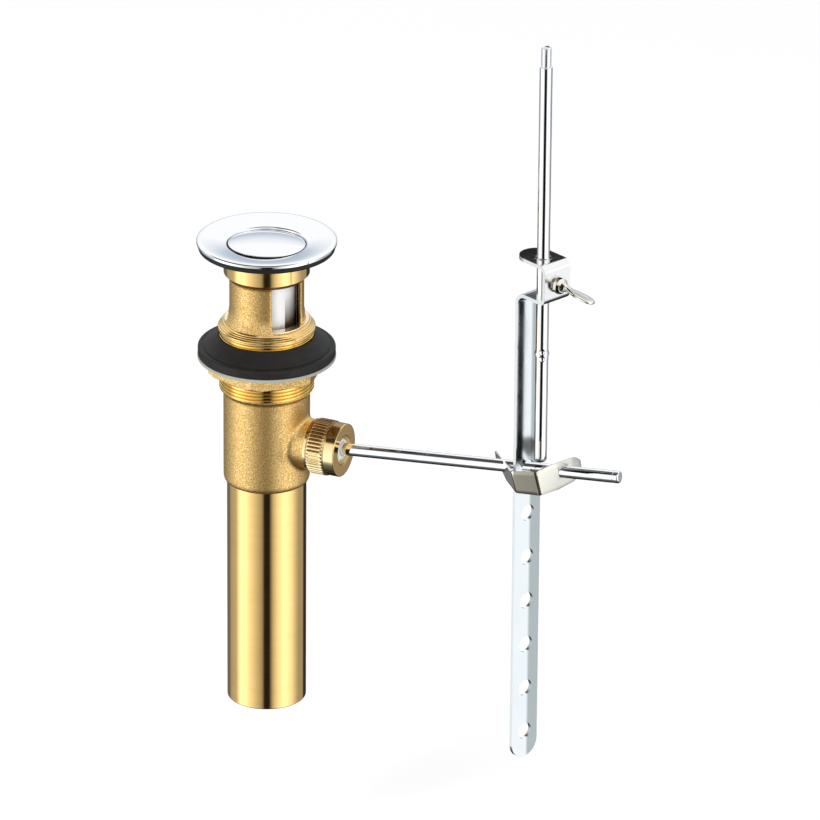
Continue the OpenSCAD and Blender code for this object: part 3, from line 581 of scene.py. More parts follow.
# %% Turning helper: soft corners
def softened(outline, radius=0.2, steps=4, closed=True):
    most_of_side, hold_share, hold_mm, least_cut = 0.42, 0.07, 0.15, 1e-3
    soft = []
    count = len(outline)
    for i, corner in enumerate(outline):
        here = Vector(corner[:2])
        wished = corner[2] if len(corner) > 2 else radius
        if wished == 0 or (not closed and i in (0, count - 1)):
            soft.append((here.x, here.y))
            continue
        back = Vector(outline[i - 1][:2]) - here
        onward = Vector(outline[(i + 1) % count][:2]) - here
        half = back.angle(onward) / 2
        cut = min(wished / math.tan(half), most_of_side * back.length, most_of_side * onward.length)
        if cut < least_cut:
            soft.append((here.x, here.y))
            continue
        back_step, onward_step = back.normalized(), onward.normalized()
        start, end = here + back_step * cut, here + onward_step * cut
        held = start + back_step * min(hold_mm, hold_share * back.length)
        soft.append((held.x, held.y))
        for k in range(steps + 1):
            t = k / steps
            arc = start * (1 - t) ** 2 + here * 2 * t * (1 - t) + end * t * t
            soft.append((arc.x, arc.y))
        held = end + onward_step * min(hold_mm, hold_share * onward.length)
        soft.append((held.x, held.y))
    return soft


print("soft corners ready")

# %% [markdown]
# Spinning is done in bmesh, where a shape function may also push each point in or out, for a
# thread or a knurl. Every mesh then becomes a piece in the same way: it rides on a body of the
# frame, names its material slot, and says which CAD nodes it stands for. Some pieces get a
# second finish on the faces that a test picks out.

# %% Turning helpers: spin and finish
TINY = 1e-6


def spun(outline, around=160, shape=None, closed=True):
    bm = bmesh.new()
    rings = []
    for r, z in outline:
        if r < TINY:
            rings.append([bm.verts.new((0, 0, z * MM))])
            continue
        ring = []
        for k in range(around):
            a = 2 * math.pi * k / around
            out = (shape(r, z, a) if shape else r) * MM
            ring.append(bm.verts.new((out * math.cos(a), out * math.sin(a), z * MM)))
        rings.append(ring)
    following = rings[1:] + (rings[:1] if closed else [])
    for low, high in zip(rings, following):
        for k in range(around):
            after = k + 1
            corners = [low[k % len(low)], low[after % len(low)], high[after % len(high)], high[k % len(high)]]
            corners = list(dict.fromkeys(corners))
            if len(corners) > 2:
                bm.faces.new(corners)
    return bm


def finished(name, bm, body, finish, stands_for=(), place=None):
    if place is not None:
        bmesh.ops.transform(bm, matrix=place, verts=bm.verts)
    bmesh.ops.recalc_face_normals(bm, faces=bm.faces)
    for face in bm.faces:
        face.smooth = True
    mesh = bpy.data.meshes.new(name)
    bm.to_mesh(mesh)
    bm.free()
    piece = bpy.data.objects.new(name, mesh)
    bpy.context.scene.collection.objects.link(piece)
    mesh.materials.append(finish)
    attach(piece, body)
    if stands_for:
        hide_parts(*stands_for)
    print("made", name, "with", len(mesh.polygons), "faces")
    return piece


def second_finish(piece, finish, picked):
    piece.data.materials.append(finish)
    for face in piece.data.polygons:
        if picked(face.center / MM):
            face.material_index = 1


print("turning helpers ready")

# %% [markdown]
# The flange is a shallow chrome dish with a rolled rim and a recess for the plug. Its outline
# follows the CAD solid, but the dish is a smooth sweep instead of straight cones, because a
# mirror shows every kink, and the recess starts with a round lip.

# %% Flange
(_, _, spigot_end), (flange_r, _, rim_top) = box_mm("flange")
_, (gasket_r, _, flange_under) = box_mm("flange_gasket")
edge_t, dish_drop, dish_t, ledge_t = 1.15, 1.75, 2.4, 0.9
recess_r, seat_r, throat_r, spigot_r, head_r = 15.75, 13.45, 12.4, 14.2, 17.2
dish_z = rim_top - dish_drop
dish_under = dish_z - dish_t
seat_z = dish_under + ledge_t
cone_inner, cone_outer = head_r + 0.08, gasket_r - 2.1
rim_r, lip_r, lip_from = flange_r - 1.3, 0.9, math.radians(13)
dish_inner = recess_r + lip_r * (1 - math.sin(lip_from))
dish_steps, dish_power, lip_steps = 20, 1.4, 8


def dish_point(t):
    return rim_r + (dish_inner - rim_r) * t, rim_top - dish_drop * t ** dish_power, 0


def lip_point(t):
    a = lip_from + (math.pi / 2 - lip_from) * t
    return recess_r + lip_r * (1 - math.sin(a)), dish_z + lip_r * (math.cos(a) - math.cos(lip_from)), 0


flange_outline = softened([
    (throat_r, spigot_end), (spigot_r, spigot_end), (spigot_r, dish_under, 0.3),
    (cone_inner, dish_under, 0.3), (cone_outer, flange_under, 0.3),
    (flange_r, flange_under, 0.25), (flange_r, flange_under + edge_t - 0.1, 0.3),
    (flange_r - 0.42, rim_top - 0.14, 0.4),
    *[dish_point(k / dish_steps) for k in range(dish_steps + 1)],
    *[lip_point(k / lip_steps) for k in range(1, lip_steps + 1)],
    (recess_r, seat_z), (seat_r, seat_z), (throat_r, seat_z - (seat_r - throat_r)),
])
finished("flange_dish", spun(flange_outline, 192), "waste", chrome, ["flange"])

# %% [markdown]
# The plug's cap is a low chrome dome, an arc pressed flat, on a short boss. A plug never sits
# quite level on its seal, so the dome is raised and tilted a little. Shearing the points does
# that without moving the boss below. A rubber lip closes the gap round it, and its black also
# stands in for the shade in that gap.

# %% Plug cap
(_, _, cap_foot), (cap_r, _, cap_top) = box_mm("plug_cap")
cap_under = seat_z + 0.3
cap_edge_z, cap_boss_r = cap_under + 0.4, 3.6
dome_arc, dome_steps = 1.0, 16
cap_tilt, cap_rise, tilt_turn = math.radians(2.7), 0.5, math.radians(-20)
tilt_way = to_camera * math.cos(tilt_turn) + to_right * math.sin(tilt_turn)


def dome_point(t, rounding=0):
    a = dome_arc * (1 - t)
    rise = (math.cos(a) - math.cos(dome_arc)) / (1 - math.cos(dome_arc))
    return cap_r * math.sin(a) / math.sin(dome_arc), cap_edge_z + (cap_top - cap_edge_z) * rise, rounding


def rested(bm):
    for vertex in bm.verts:
        beside_boss = math.hypot(vertex.co.x, vertex.co.y) / MM > cap_boss_r + 0.01
        if beside_boss or vertex.co.z > cap_under * MM:
            vertex.co.z += cap_rise * MM + math.tan(cap_tilt) * vertex.co.dot(tilt_way)
    return bm


cap_outline = softened([
    (0, cap_foot), (cap_boss_r, cap_foot), (cap_boss_r, cap_under), (cap_r, cap_under), dome_point(0, 0.4),
    *[dome_point(k / dome_steps) for k in range(1, dome_steps + 1)],
], closed=False)
finished("plug_dome", rested(spun(cap_outline, closed=False)), "plug", chrome, ["plug_cap"])

seal_in, seal_step, seal_out = cap_r - 1.2, cap_r - 0.3, cap_r + 0.2
seal_low, seal_top = cap_under - 0.7, cap_edge_z - 0.12
seal_outline = softened([
    (seal_in, seal_low), (cap_r - 0.2, seal_low, 0.2), (seal_out, cap_under - 0.1, 0.15),
    (seal_out, seal_top, 0.1), (seal_step, seal_top),
    (seal_step, cap_under + 0.02), (seal_in, cap_under + 0.02),
])
# A rubber lip seal, whose black also stands in for the shade in the gap round the cap.
finished("plug_lip_seal_and_gap_shade", rested(spun(seal_outline)), "plug", rubber)

# %% [markdown]
# Three flat rings seal the waste in the basin. The gasket and the bevelled washer are rubber,
# pressed in a mould, so their edges are round, and a small step runs inside the washer's lip.
# The thin slip washer lets the nut turn below them. Each is one spun outline.

# %% Clamping rings
gasket_lip = 0.4
cone_share = (gasket_lip - dish_under) / (flange_under - dish_under)
gasket_inner = cone_inner + (cone_outer - cone_inner) * cone_share
finished("gasket_ring", spun(softened([
    (gasket_inner, 0), (gasket_r, 0, 0.5), (gasket_r, flange_under, 0.4), (cone_outer + 0.1, flange_under),
    (gasket_inner, gasket_lip - 0.03),
])), "waste", rubber, ["flange_gasket"])

(_, _, washer_under), (washer_r, _, washer_top) = box_mm("rubber_washer")
clamp_inner, washer_lip = 19.1, 2.2
lip_z = washer_under + 3.6
finished("bevelled_washer", spun(softened([
    (clamp_inner, washer_under), (washer_r, washer_under, 0.5), (washer_r, lip_z, 0.8),
    (washer_r - washer_lip, lip_z, 0.12), (washer_r - washer_lip, lip_z + 0.4, 0.15),
    (clamp_inner + 0.9, washer_top, 0.4), (clamp_inner, washer_top, 0.2),
])), "waste", rubber, ["rubber_washer"])

(_, _, slip_under), (slip_r, _, slip_top) = box_mm("slip_washer")
finished("slip_ring", spun(softened([
    (clamp_inner, slip_under), (slip_r, slip_under, 0.35), (slip_r, slip_top, 0.25), (clamp_inner, slip_top),
])), "waste", grey_plastic, ["slip_washer"])

# %% [markdown]
# The body is a casting: its corners are soft and the boss grows out of the barrel. A bevel tends
# to tear where curved walls meet, so the CAD solid is remeshed into voxels and smoothed, which
# gives just that softness. The machined zones, the head ring and the long thread, are cut back a
# little and get crisp pieces of their own next. The boss's root is smoothed further by itself.

# %% Body casting
branch_z, barrel_r = -82.0, 17.4
head_end, neck_r, thread_r, thread_top, thread_end = -10.1, 14.95, 19.0, -34.9, -59.8
voxel_mm, cast_rounds, root_rounds = 0.45, 5, 30
cut_back = [(head_end, 1.0, head_r - 0.5), (thread_end, thread_top, thread_r - 0.75)]
root_in, root_out, root_left, root_top = 9.8, 16.0, 4.0, -65.0


def melted(source):
    mesh = nodes[source].data.copy()
    bm = bmesh.new()
    bm.from_mesh(mesh)
    bmesh.ops.remove_doubles(bm, verts=bm.verts, dist=0.002 * MM)
    bm.to_mesh(mesh)
    bm.free()
    rough = bpy.data.objects.new("rough_casting", mesh)
    bpy.context.scene.collection.objects.link(rough)
    remesh = rough.modifiers.new("voxels", "REMESH")
    remesh.mode, remesh.voxel_size = "VOXEL", voxel_mm * MM
    smooth = rough.modifiers.new("smooth", "SMOOTH")
    smooth.factor, smooth.iterations = 0.5, cast_rounds
    cast = bmesh.new()
    cast.from_mesh(rough.evaluated_get(bpy.context.evaluated_depsgraph_get()).data)
    bpy.data.objects.remove(rough)
    return cast


def at_boss_root(point):
    outside = math.hypot(point.x, point.y) > barrel_r - 0.8
    off_axis = math.hypot(point.y, point.z - branch_z)
    return outside and root_in < off_axis < root_out and point.x > root_left and point.z < root_top


cast = melted("waste_body")
for vertex in cast.verts:
    r = math.hypot(vertex.co.x, vertex.co.y)
    for low, high, limit in cut_back:
        if low * MM < vertex.co.z < high * MM and limit * MM < r < limit * MM * 1.15:
            vertex.co.x, vertex.co.y = vertex.co.x * limit * MM / r, vertex.co.y * limit * MM / r
root = [vertex for vertex in cast.verts if at_boss_root(vertex.co / MM)]
for _ in range(root_rounds):
    bmesh.ops.smooth_vert(cast, verts=root, factor=0.5, use_axis_x=True, use_axis_y=True, use_axis_z=True)
body_cast = finished("body_casting", cast, "waste", cast_brass, ["waste_body"])
# Painted shade: the inside of the neck gets the dark brass.
second_finish(body_cast, shade_brass,
              lambda at: math.hypot(at.x, at.y) < neck_r - 0.3 and at.z > thread_top - 4)

# %% [markdown]
# The head ring is turned bright, and its cut-back lower edge is painted dark, a painted shade
# under it. Under the windows a pale shelf is milled, and the collar below it has fine turned ridges.
# Cut into the casting, such edges would melt in its voxels, so each is a spun ring of its own.

# %% Head ring, shelf and collar
undercut, ring_in = 1.9, head_r - 2.4
head_ring = finished("head_ring", spun(softened([
    (head_r - 1.5, dish_under - 0.05), (head_r, dish_under - 0.05), (head_r, head_end, 0.12),
    (head_r - undercut, head_end - undercut, 0.1), (ring_in, head_end - undercut), (ring_in, head_end),
]), 192), "waste", turned_ring_brass)
# Painted shade: the cut-back lower edge gets the dark brass.
second_finish(head_ring, shade_brass, lambda at: at.z < head_end - 0.1)

shelf_z, shelf_t, shelf_in, shelf_out = -30.1, 1.2, neck_r - 1.4, neck_r + 2.0
finished("collar_shelf_ring", spun(softened([
    (shelf_in, shelf_z - shelf_t), (shelf_out, shelf_z - shelf_t), (shelf_out, shelf_z, 0.25),
    (shelf_in, shelf_z, 0.2),
])), "waste", shelf_brass)

collar_in, ridges_top, collar_end = 16.6, -30.85, -34.7
collar_ridges = [
    (17.65, ridges_top), (18.05, -31.3), (17.95, -31.6), (18.45, -32.0), (18.35, -32.3), (18.9, -32.65),
    (18.85, -32.95), (19.5, -33.3), (19.62, -33.7), (19.3, -33.95), (19.55, -34.2), (19.5, collar_end),
]
ridges_outline = softened([(collar_in, ridges_top), *collar_ridges, (collar_in, collar_end)], 0.12)
finished("collar_ridges", spun(ridges_outline), "waste", turned_ring_brass)

# %% [markdown]
# The nut runs on a long fine thread. A stack of rings would look right from afar, but a real
# thread is a helix: the radius of each point depends on its height and on its angle, so the
# ridge climbs by one pitch a turn. The crests are flat, and the ridge fades out at both ends.

# %% Long thread
def eased(value):
    return min(1.0, max(0.0, value))


def helix(crest, root, pitch, low, high, fade):
    groove_flat, flank = 0.08, 0.36

    def shape(r, z, a):
        if abs(r - crest) > TINY:
            return r
        phase = (z / pitch - a / (2 * math.pi)) % 1.0
        side = eased((abs(2 * phase - 1) - groove_flat) / flank)
        ridge = side * side * (3 - 2 * side)
        return root + (crest - root) * ridge * eased(min(z - low, high - z) / fade)
    return shape


def threaded(crest, deep, wall, pitch, low, high, fade, around, rows=14):
    count = int(rows * (high - low) / pitch)
    outside = [(crest, low + (high - low) * k / count) for k in range(count + 1)]
    outline = [(crest - wall, high), (crest - wall, low), *outside]
    return spun(outline, around, helix(crest, crest - deep, pitch, low, high, fade))


body_thread = threaded(thread_r, 0.72, 1.6, 1.47, thread_end - 0.6, thread_top, 0.5, 160)
finished("body_thread", body_thread, "waste", thread_brass)

# %% [markdown]
# The tail is a drawn brass tube, polished until it mirrors the studio from top to bottom. It is
# a plain tube with a thinner end that sits in the barrel, so a spun outline is all it needs.

# %% Tail pipe
(_, _, tail_end), (tail_r, _, tail_top) = box_mm("tail_pipe")
tail_wall, insert_l, insert_step = 1.2, 9.0, 0.4
socket_z = tail_top - insert_l
finished("tail_tube", spun(softened([
    (tail_r - tail_wall, tail_end, 0.2), (tail_r, tail_end, 0.4), (tail_r, socket_z),
    (tail_r - insert_step, socket_z), (tail_r - insert_step, tail_top), (tail_r - tail_wall, tail_top),
]), 192), "waste", tube_brass, ["tail_pipe"])

# %% [markdown]
# The gland nut holds the ball in the branch. Its straight knurl is cut into the radius: ridges
# with flat tops, fading out at the band's end. A bump would leave the nut's outline round. It is
# spun about Z and then laid onto the branch.

# %% Gland nut
on_branch = Matrix.Translation((0, 0, branch_z * MM)) @ Matrix.Rotation(math.pi / 2, 4, "Y")
(gland_x, _, _), (gland_end, _, _) = box_mm("gland_nut")
knurl_r, knurl_l, collar_r, hole_r, bore_r = 11.25, 7.4, 10.85, 6.1, 9.1
knurl_end, wall_x = gland_x + knurl_l, gland_end - 3.1
knurl_count, groove, knurl_steps = 44, 0.85, 8


def knurl(r, z, a):
    if r < collar_r + 0.02 or z > knurl_end - 0.05:
        return r
    wave = 0.5 + 0.5 * math.cos(a * knurl_count)
    ridge = eased((wave - 0.18) / 0.5)
    return r - groove * (1 - ridge) * eased((knurl_end - 0.5 - z) / 0.4)


knurl_rows = [(knurl_r, gland_x + 0.5 + (knurl_l - 1.1) * k / knurl_steps, 0) for k in range(knurl_steps + 1)]
gland_outline = softened([
    (bore_r, gland_x), (knurl_r - 0.45, gland_x, 0.1), *knurl_rows, (knurl_r - 0.35, knurl_end - 0.05, 0.1),
    (collar_r - 0.35, knurl_end + 0.1, 0.1), (collar_r, knurl_end + 0.5, 0.15), (collar_r, gland_end, 0.35),
    (hole_r, gland_end, 0.2), (hole_r, wall_x), (bore_r, wall_x),
])
gland = finished("gland_nut_knurled", spun(gland_outline, knurl_count * 10, knurl), "waste", gland_brass,
                 ["gland_nut"], on_branch)

shoulder_x, shoulder_end, shoulder_r, shoulder_in = 20.55, 21.75, 10.75, 9.3
finished("branch_shoulder", spun(softened([
    (shoulder_in, shoulder_x), (shoulder_r, shoulder_x), (shoulder_r, shoulder_end),
    (shoulder_in, shoulder_end),
]), 128), "waste", gland_brass, [], on_branch)

# %% [markdown]
# The nut gets painted shade on top, darkest in its grooves there, and a painted highlight on its
# lower side, which is made pale. The grooves get the dark finish face by face, and two tints by
# height do the rest. The turned face at the nut's end is left bright.

# %% Painted shade and light on the gland nut
# Painted shade: knurl grooves on the upper half of the nut.
def shaded_groove(at):
    off_axis = math.hypot(at.y, at.z - branch_z)
    in_groove = bore_r + 0.5 < off_axis < knurl_r - 0.5 and gland_x + 0.4 < at.x < knurl_end - 0.3
    return in_groove and at.z > branch_z + 1.5


second_finish(gland, shade_brass, shaded_groove)
tree = gland_brass.node_tree
up = axis_of(tree, "Z")
behind_face = between(tree, axis_of(tree, "X"), gland_end - 0.2, gland_end - 0.7)
painted_light_low = between(tree, up, branch_z + 7.5, branch_z + 2.0)
painted_shade_high = between(tree, up, branch_z + 6.0, branch_z + 8.5)
# Painted light on the lower side and painted shade on the upper side.
tint(gland_brass, math_node(tree, "MULTIPLY", painted_light_low, behind_face), (0.98, 0.82, 0.50))
tint(gland_brass, math_node(tree, "MULTIPLY", painted_shade_high, behind_face), (0.33, 0.19, 0.075))
print("painted_shade_and_light_on", gland.name)

# %% [markdown]
# The pivot rod carries a nylon ball and turns in the branch. Both are spun about the rod's own
# line, which climbs a little to the strap while the plug is closed. The rod ends in a turned
# ring and a round nose. The ball has a fine seam and a short sleeve round the rod, which shows
# white in the nut's hole.

# %% Pivot rod and ball
rod_tilt = math.radians(5.1)
ball_x, ball_r, rod_r = 27.27, 7.0, 2.5
at_ball = Matrix.Translation((ball_x * MM, 0, branch_z * MM))
on_rod = at_ball @ Matrix.Rotation(math.pi / 2 - rod_tilt, 4, "Y")
rod_in, rod_out, nose = -(ball_x + 3.5) / math.cos(rod_tilt), 126.8, 1.6
ring_at, ring_w, ring_r = rod_out - 2.6, 0.45, rod_r - 0.2
rod_outline = softened([
    (0, rod_in), (rod_r, rod_in, nose), (rod_r, ring_at, 0.05), (ring_r, ring_at, 0.05),
    (ring_r, ring_at + ring_w, 0.05), (rod_r, ring_at + ring_w, 0.05), (rod_r, rod_out, nose), (0, rod_out),
], steps=6, closed=False)
finished("pivot_rod_turned", spun(rod_outline, 64, closed=False), "pivot", chrome,
         ["pivot_rod"], on_rod)

mouth_r, sleeve_r, sleeve_root, sleeve_end = rod_r + 0.03, 3.9, 5.1, gland_end - ball_x - 0.5
seam, ball_steps = 0.03, 40
ball_from, ball_to = math.asin(sleeve_root / ball_r) + 0.03, math.pi - math.asin(mouth_r / ball_r)


def ball_point(t):
    a = ball_from + (ball_to - ball_from) * t
    on_seam = abs(a - math.pi / 2) < 0.03
    return ball_r * math.sin(a) + (seam if on_seam else 0), ball_r * math.cos(a)


sleeve = softened([
    (mouth_r, sleeve_end), (sleeve_r, sleeve_end, 0.3),
    (sleeve_root, math.sqrt(ball_r ** 2 - sleeve_root ** 2), 0.3),
], closed=False)
ball_outline = sleeve + [ball_point(k / ball_steps) for k in range(ball_steps + 1)]
finished("nylon_ball", spun(ball_outline, 96), "pivot", white_plastic,
         ["pivot_ball"], on_rod)

# %% [markdown]
# The lift rod is a plain chrome rod with a round foot, a crimp that stops it in the bracket, and
# a threaded tip for a knob. The crimp is punched: two round dents, one above the other, on both
# faces, which push two small ears of metal out sideways. A boolean with balls would cut the
# dents but not the ears, so the shape function makes both.

# %% Lift rod
(_, _, lift_low), (_, _, tip_top) = box_mm("lift_rod")
lift_offset = 7.7
at_strap = Matrix.Translation((strap_x * MM, 0, 0)) @ Matrix.Rotation(strap_turn, 4, "Z")
at_lift_rod = at_strap @ Matrix.Translation((lift_offset * MM, 0, 0))
tip_l, tip_r, tip_core = 8.0, 2.0, 1.65
lift_top, core_top = tip_top - tip_l, tip_top - 0.3
crimp_z, crimp_reach, crimp_turn, crimp_steps = -22.3, 3.0, math.radians(-41), 40
punch_r, punch_out, punch_rows = 1.6, 0.9, (-1.4, 1.4)
ear_out, ear_high, ear_wide = 0.4, 1.8, 1.1


def crimp(r, z, a):
    if abs(z - crimp_z) > crimp_reach or r < rod_r - TINY:
        return r
    along, across = math.cos(a - crimp_turn), math.sin(a - crimp_turn)
    near = max(0.0, 1 - abs(z - crimp_z) / ear_high)
    pressed = r + ear_out * near * near * (3 - 2 * near) * math.exp(-(r * along / ear_wide) ** 2)
    far = rod_r + punch_out
    for row in punch_rows:
        inside = punch_r ** 2 - (far * across) ** 2 - (z - crimp_z - row) ** 2
        if inside > 0:
            pressed = min(pressed, far * abs(along) - math.sqrt(inside))
    return pressed


crimp_rows = [(rod_r, crimp_z + crimp_reach * (2 * k / crimp_steps - 1), 0) for k in range(crimp_steps + 1)]
lift_outline = softened([
    (0, lift_low), (rod_r, lift_low, nose), *crimp_rows, (rod_r, lift_top, 0.3), (tip_core, lift_top),
    (tip_core, core_top), (0, core_top),
], steps=6, closed=False)
finished("lift_rod_turned", spun(lift_outline, 96, crimp, closed=False), "lift_rod", chrome,
         ["lift_rod"], at_lift_rod)
tip_thread = threaded(tip_r, 0.3, 0.5, 0.7, lift_top + 0.1, tip_top, 0.3, 48)
finished("lift_rod_thread", tip_thread, "lift_rod", chrome, [], at_lift_rod)

# %% [markdown]
# The spring clip is one strip of nickel silver, folded to grip the pivot rod on both sides of
# the strap. Its left tongue narrows to the rod and its right arm is broad, so each corner has a
# top and a bottom of its own. Bending a flat strip with modifiers would blur that, so the strip
# is laid out from corner to corner, with small round folds.

# %% Spring clip: the strip
clip_t, clip_edge, clip_fold, fold_steps, clip_levels = 0.7, 0.08, 0.8, 6, 6
clip_droop = math.radians(6.5)
strap_u = (strap_x - ball_x) / math.cos(rod_tilt)
on_rod_flat = at_ball @ Matrix.Rotation(-rod_tilt, 4, "Y") @ Matrix.Rotation(clip_droop, 4, "X")
# Each corner: along the rod from the strap, out from the rod, top, bottom, lean of the fold
clip_corners = [
    (-16.6, -7.6, 1.7, -1.0, 0.0),
    (-12.2, -2.8, 2.5, -4.0, 0.0),
    (-8.3, 2.4, 2.8, -5.0, 0.0),
    (-0.6, 11.8, 4.7, -4.8, 0.6),
    (9.7, 11.8, 5.5, -4.9, 0.5),
    (14.0, 3.4, 5.2, -6.4, 0.0),
    (17.7, -4.4, 4.0, -6.4, 0.0),
    (18.6, -7.0, 3.0, -5.0, 0.0),
    (19.2, -9.0, 0.6, -2.6, 0.0),
]


def strip_rows(corners):
    rows = [np.array(corners[0])]
    for before, here, after in zip(corners, corners[1:], corners[2:]):
        back, mid, onward = np.array(before), np.array(here), np.array(after)
        start = mid + (back - mid) * min(0.4, clip_fold / np.hypot(*(back - mid)[:2]))
        end = mid + (onward - mid) * min(0.4, clip_fold / np.hypot(*(onward - mid)[:2]))
        for k in range(fold_steps + 1):
            t = k / fold_steps
            rows.append(start * (1 - t) ** 2 + mid * 2 * t * (1 - t) + end * t * t)
    rows.append(np.array(corners[-1]))
    return rows


def clip_blank():
    bm = bmesh.new()
    grid = []
    for u, q, top, bottom, lean in strip_rows(clip_corners):
        column = []
        for k in range(clip_levels + 1):
            rise = k / clip_levels
            along, tall = strap_u + u - lean * (2 * rise - 1), bottom + (top - bottom) * rise
            column.append(bm.verts.new((along * MM, -q * MM, tall * MM)))
        grid.append(column)
    for left, right in zip(grid, grid[1:]):
        for k in range(clip_levels):
            bm.faces.new((left[k], right[k], right[k + 1], left[k + 1]))
    mesh = bpy.data.meshes.new("clip_blank")
    bm.to_mesh(mesh)
    bm.free()
    return bpy.data.objects.new("clip_blank", mesh)


print("clip strip has", len(strip_rows(clip_corners)), "rows")

# %% [markdown]
# The strip is thickened, drilled for the rod and its sheared edges are broken, all by modifiers
# whose result is taken as the final mesh. The two front folds are painted dark, a painted shade
# in their creases.

# %% Spring clip: thickness, drill and folds
def break_edges(piece, edge_mm, segments, degrees):
    edge = piece.modifiers.new("edge", "BEVEL")
    edge.width, edge.segments = edge_mm * MM, segments
    edge.limit_method, edge.angle_limit = "ANGLE", math.radians(degrees)


def drilled(blank, cutter):
    for piece in (blank, cutter):
        bpy.context.scene.collection.objects.link(piece)
    thick = blank.modifiers.new("thick", "SOLIDIFY")
    thick.thickness, thick.offset = clip_t * MM, 0.0
    drill = blank.modifiers.new("drill", "BOOLEAN")
    drill.operation, drill.solver, drill.object = "DIFFERENCE", "EXACT", cutter
    break_edges(blank, clip_edge, 2, 40)
    cut = bmesh.new()
    cut.from_mesh(blank.evaluated_get(bpy.context.evaluated_depsgraph_get()).data)
    for piece in (blank, cutter):
        bpy.data.objects.remove(piece)
    return cut


drill_r, drill_from, drill_to = rod_r + 0.08, 40, 130
drill_outline = [(0, drill_from), (drill_r, drill_from), (drill_r, drill_to), (0, drill_to)]
drill_form = spun(drill_outline, 48, closed=False)
bmesh.ops.transform(drill_form, matrix=Matrix.Rotation(math.pi / 2, 4, "Y"), verts=drill_form.verts)
bmesh.ops.recalc_face_normals(drill_form, faces=drill_form.faces)
drill_mesh = bpy.data.meshes.new("clip_drill")
drill_form.to_mesh(drill_mesh)
drill_form.free()
clip_cut = drilled(clip_blank(), bpy.data.objects.new("clip_drill", drill_mesh))
# Painted shade: faces in the two front folds get the dark nickel.
front_folds = zip(clip_corners[3:5], (0.30, 0.42))
for (u, q, top, bottom, lean), half_wide in front_folds:
    for face in clip_cut.faces:
        at = face.calc_center_median() / MM
        rise = (at.z - bottom) / (top - bottom)
        if abs(at.x - (strap_u + u - lean * (2 * rise - 1))) < half_wide and -at.y > q - 1.0:
            face.material_index = 1
clip = finished("spring_clip_folded", clip_cut, "pivot", clip_nickel,
                ["spring_clip"], on_rod_flat)
clip.data.materials.append(fold_shade_nickel)

# %% [markdown]
# The thumb screw clamps the lift rod. Behind the bracket it is a thread, in front of it comes a
# faceted collar, and then the bar is hammered out into a dished paddle for the fingers. The
# paddle is a loft: one cross-section after the other along the screw, with the middle of each
# pressed in and the whole bent down towards its end.

# %% Thumb screw
screw_z, wing_turn = 9.75, math.radians(-15)
screw_tip, bracket_face, screw_r, screw_collar_r = 10.5, 16.0, 2.4, 3.3
collar_from, collar_to, facets = bracket_face + 0.3, bracket_face + 3.2, 9
on_screw = at_strap @ Matrix.Translation((0, 0, screw_z * MM)) @ Matrix.Rotation(wing_turn, 4, "X")
along_screw = on_screw @ Matrix.Rotation(math.pi / 2, 4, "Y")
paddle_l, paddle_bend, paddle_around = 17.0, 1.3, 40
# Each section: along the screw from the collar, half width, half thickness, depth of the dish
paddle_sections = [
    (-0.6, 2.1, 2.1, 0.0), (0.4, 1.9, 1.8, 0.0), (1.6, 1.6, 1.35, 0.0), (3.0, 1.7, 1.05, 0.05),
    (4.4, 2.2, 0.9, 0.15), (6.2, 2.9, 0.85, 0.3), (8.4, 3.5, 0.85, 0.45), (11.0, 3.8, 0.85, 0.5),
    (13.5, 3.6, 0.85, 0.45), (15.3, 3.0, 0.8, 0.3), (16.4, 2.1, 0.7, 0.15), (16.9, 1.2, 0.5, 0.0),
    (17.05, 0.5, 0.3, 0.0),
]


def nugget(r, z, a):
    if r < screw_r + 0.3:
        return r
    step = 2 * math.pi / facets
    off = (a + step / 2) % step - step / 2
    return r * (0.35 + 0.65 * math.cos(math.pi / facets) / math.cos(off))


def paddle(sections):
    bm = bmesh.new()
    rings = []
    for along, wide, thick, dish in sections:
        sag = paddle_bend * (along / paddle_l) ** 2
        ring = []
        for k in range(paddle_around):
            a = 2 * math.pi * k / paddle_around
            c, s = math.cos(a), math.sin(a)
            y = wide * math.copysign(abs(c) ** 0.8, c)
            z = thick * math.copysign(abs(s) ** 0.7, s) * (1 - dish * (1 - abs(c)))
            ring.append(bm.verts.new(((collar_to + along) * MM, y * MM, (z - sag) * MM)))
        rings.append(ring)
    for low, high in zip(rings, rings[1:]):
        for k in range(paddle_around):
            after = (k + 1) % paddle_around
            bm.faces.new((low[k], low[after], high[after], high[k]))
    bm.faces.new(rings[0])
    bm.faces.new(rings[-1])
    return bm


collar_outline = softened([
    (0, collar_from), (screw_collar_r - 0.3, collar_from, 0.1), (screw_collar_r, collar_from + 0.5, 0.2),
    (screw_collar_r, collar_to - 0.9, 0.3), (screw_collar_r - 1.0, collar_to, 0.3), (0, collar_to),
], closed=False)
finished("thumb_screw_collar", spun(collar_outline, facets * 12, nugget, closed=False), "thumb_screw",
         screw_nickel, ["thumb_screw"], along_screw)
screw_thread = threaded(screw_r, 0.35, 0.6, 0.8, screw_tip, collar_from + 0.1, 0.3, 48)
finished("thumb_screw_thread", screw_thread, "thumb_screw", screw_nickel, [], along_screw)
finished("thumb_screw_paddle", paddle(paddle_sections), "thumb_screw", screw_nickel,
         [], on_screw)

# %% [markdown]
# The strap, the back nut and the plug's inner parts are the CAD nodes themselves, because their
# flat faces are right already. Modifiers melt their triangles together and round the sheared
# edges, so that they catch a line of light. The strap is left out of mirror images, where it
# would draw a line down the polished tail. A small rolled ring goes round the bracket's hole.

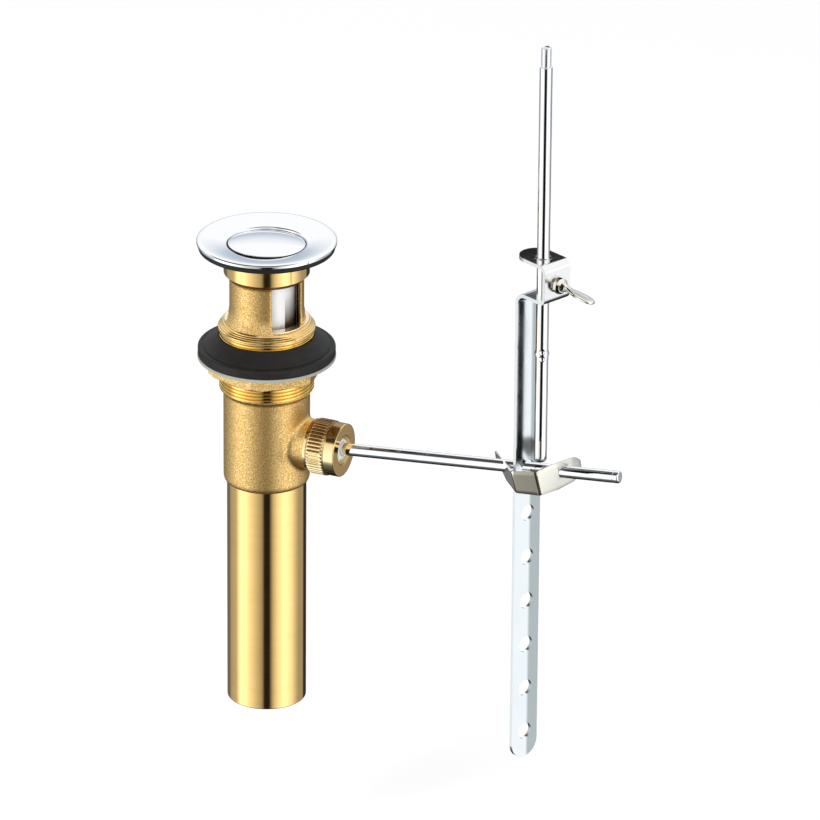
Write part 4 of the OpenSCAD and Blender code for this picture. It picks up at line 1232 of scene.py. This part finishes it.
# %% Strap and inner pieces
def dress(node_name, finish, edge_mm):
    piece = nodes[node_name]
    piece.data.materials.clear()
    piece.data.materials.append(finish)
    weld = piece.modifiers.new("weld", "WELD")
    weld.merge_threshold = 0.002 * MM
    melt = piece.modifiers.new("melt", "DECIMATE")
    melt.decimate_type, melt.angle_limit = "DISSOLVE", math.radians(0.4)
    break_edges(piece, edge_mm, 3, 33)
    piece.modifiers.new("even", "WEIGHTED_NORMAL")
    print("dressed", node_name)


dress("strap", strap_plate, 0.45)
nodes["strap"].visible_glossy = False
dress("back_nut", cast_brass, 0.35)
dress("plug_stem", satin_chrome, 0.15)
for inner in ("plug_foot", "ball_seat", "ball_washer"):
    dress(inner, white_plastic, 0.15)
dress("plug_seal", rubber, 0.2)
dress("plug_lock_nut", turned_ring_brass, 0.2)

_, (_, _, tab_top) = box_mm("strap")
hole_edge_r, hole_ring_r = 2.65, 3.5
finished("tab_hole_ring", spun(softened([
    (hole_edge_r, tab_top - 0.5), (hole_ring_r, tab_top - 0.5), (hole_ring_r, tab_top + 0.03, 0.05),
    (hole_ring_r - 0.4, tab_top + 0.12, 0.1), (hole_edge_r, tab_top - 0.2, 0.1),
]), 64), "strap", strap_plate, [], at_lift_rod)

# %% [markdown]
# A photographer darkens a single face or draws a line down a rod with a black card. One hangs
# behind the bracket and turns its top tab black, a tall one beside the strap draws a dark line
# along the lift rod, and a narrow one in front of the strap's leg gives it a dark band. Only
# mirror images find them: the camera doesn't see them, and they cast no shadow.

# %% Black cards
black, _, _ = new_finish("black_card", Base_Color=(0.01, 0.01, 0.01), Specular_IOR_Level=0.0)


def black_card(name, place, target, wide, tall):
    card = flat_sheet(name, wide, tall, black)
    card.location = place
    card.rotation_mode = "QUATERNION"
    card.rotation_quaternion = (target - place).to_track_quat("Z", "Y")
    card.visible_camera = card.visible_diffuse = card.visible_shadow = False
    print("black card", name, "hangs", round((target - place).length / MM), "mm away")


black_card("tab_card", Vector((0.1073, 0.0254, 0.0318)), Vector((0.1205, -0.003, 0.0185)), 0.036, 0.032)
black_card("rod_card", Vector((0.1269, -0.0167, 0.018)), Vector((0.1289, -0.0018, 0.018)), 0.0120, 0.164)
mirror_place, mirror_face = [at_strap @ Vector((ahead, -0.0013, -0.0365)) for ahead in (0.0046, 0.0006)]
black_card("mirror_card", mirror_place, mirror_face, 0.0036, 0.071)
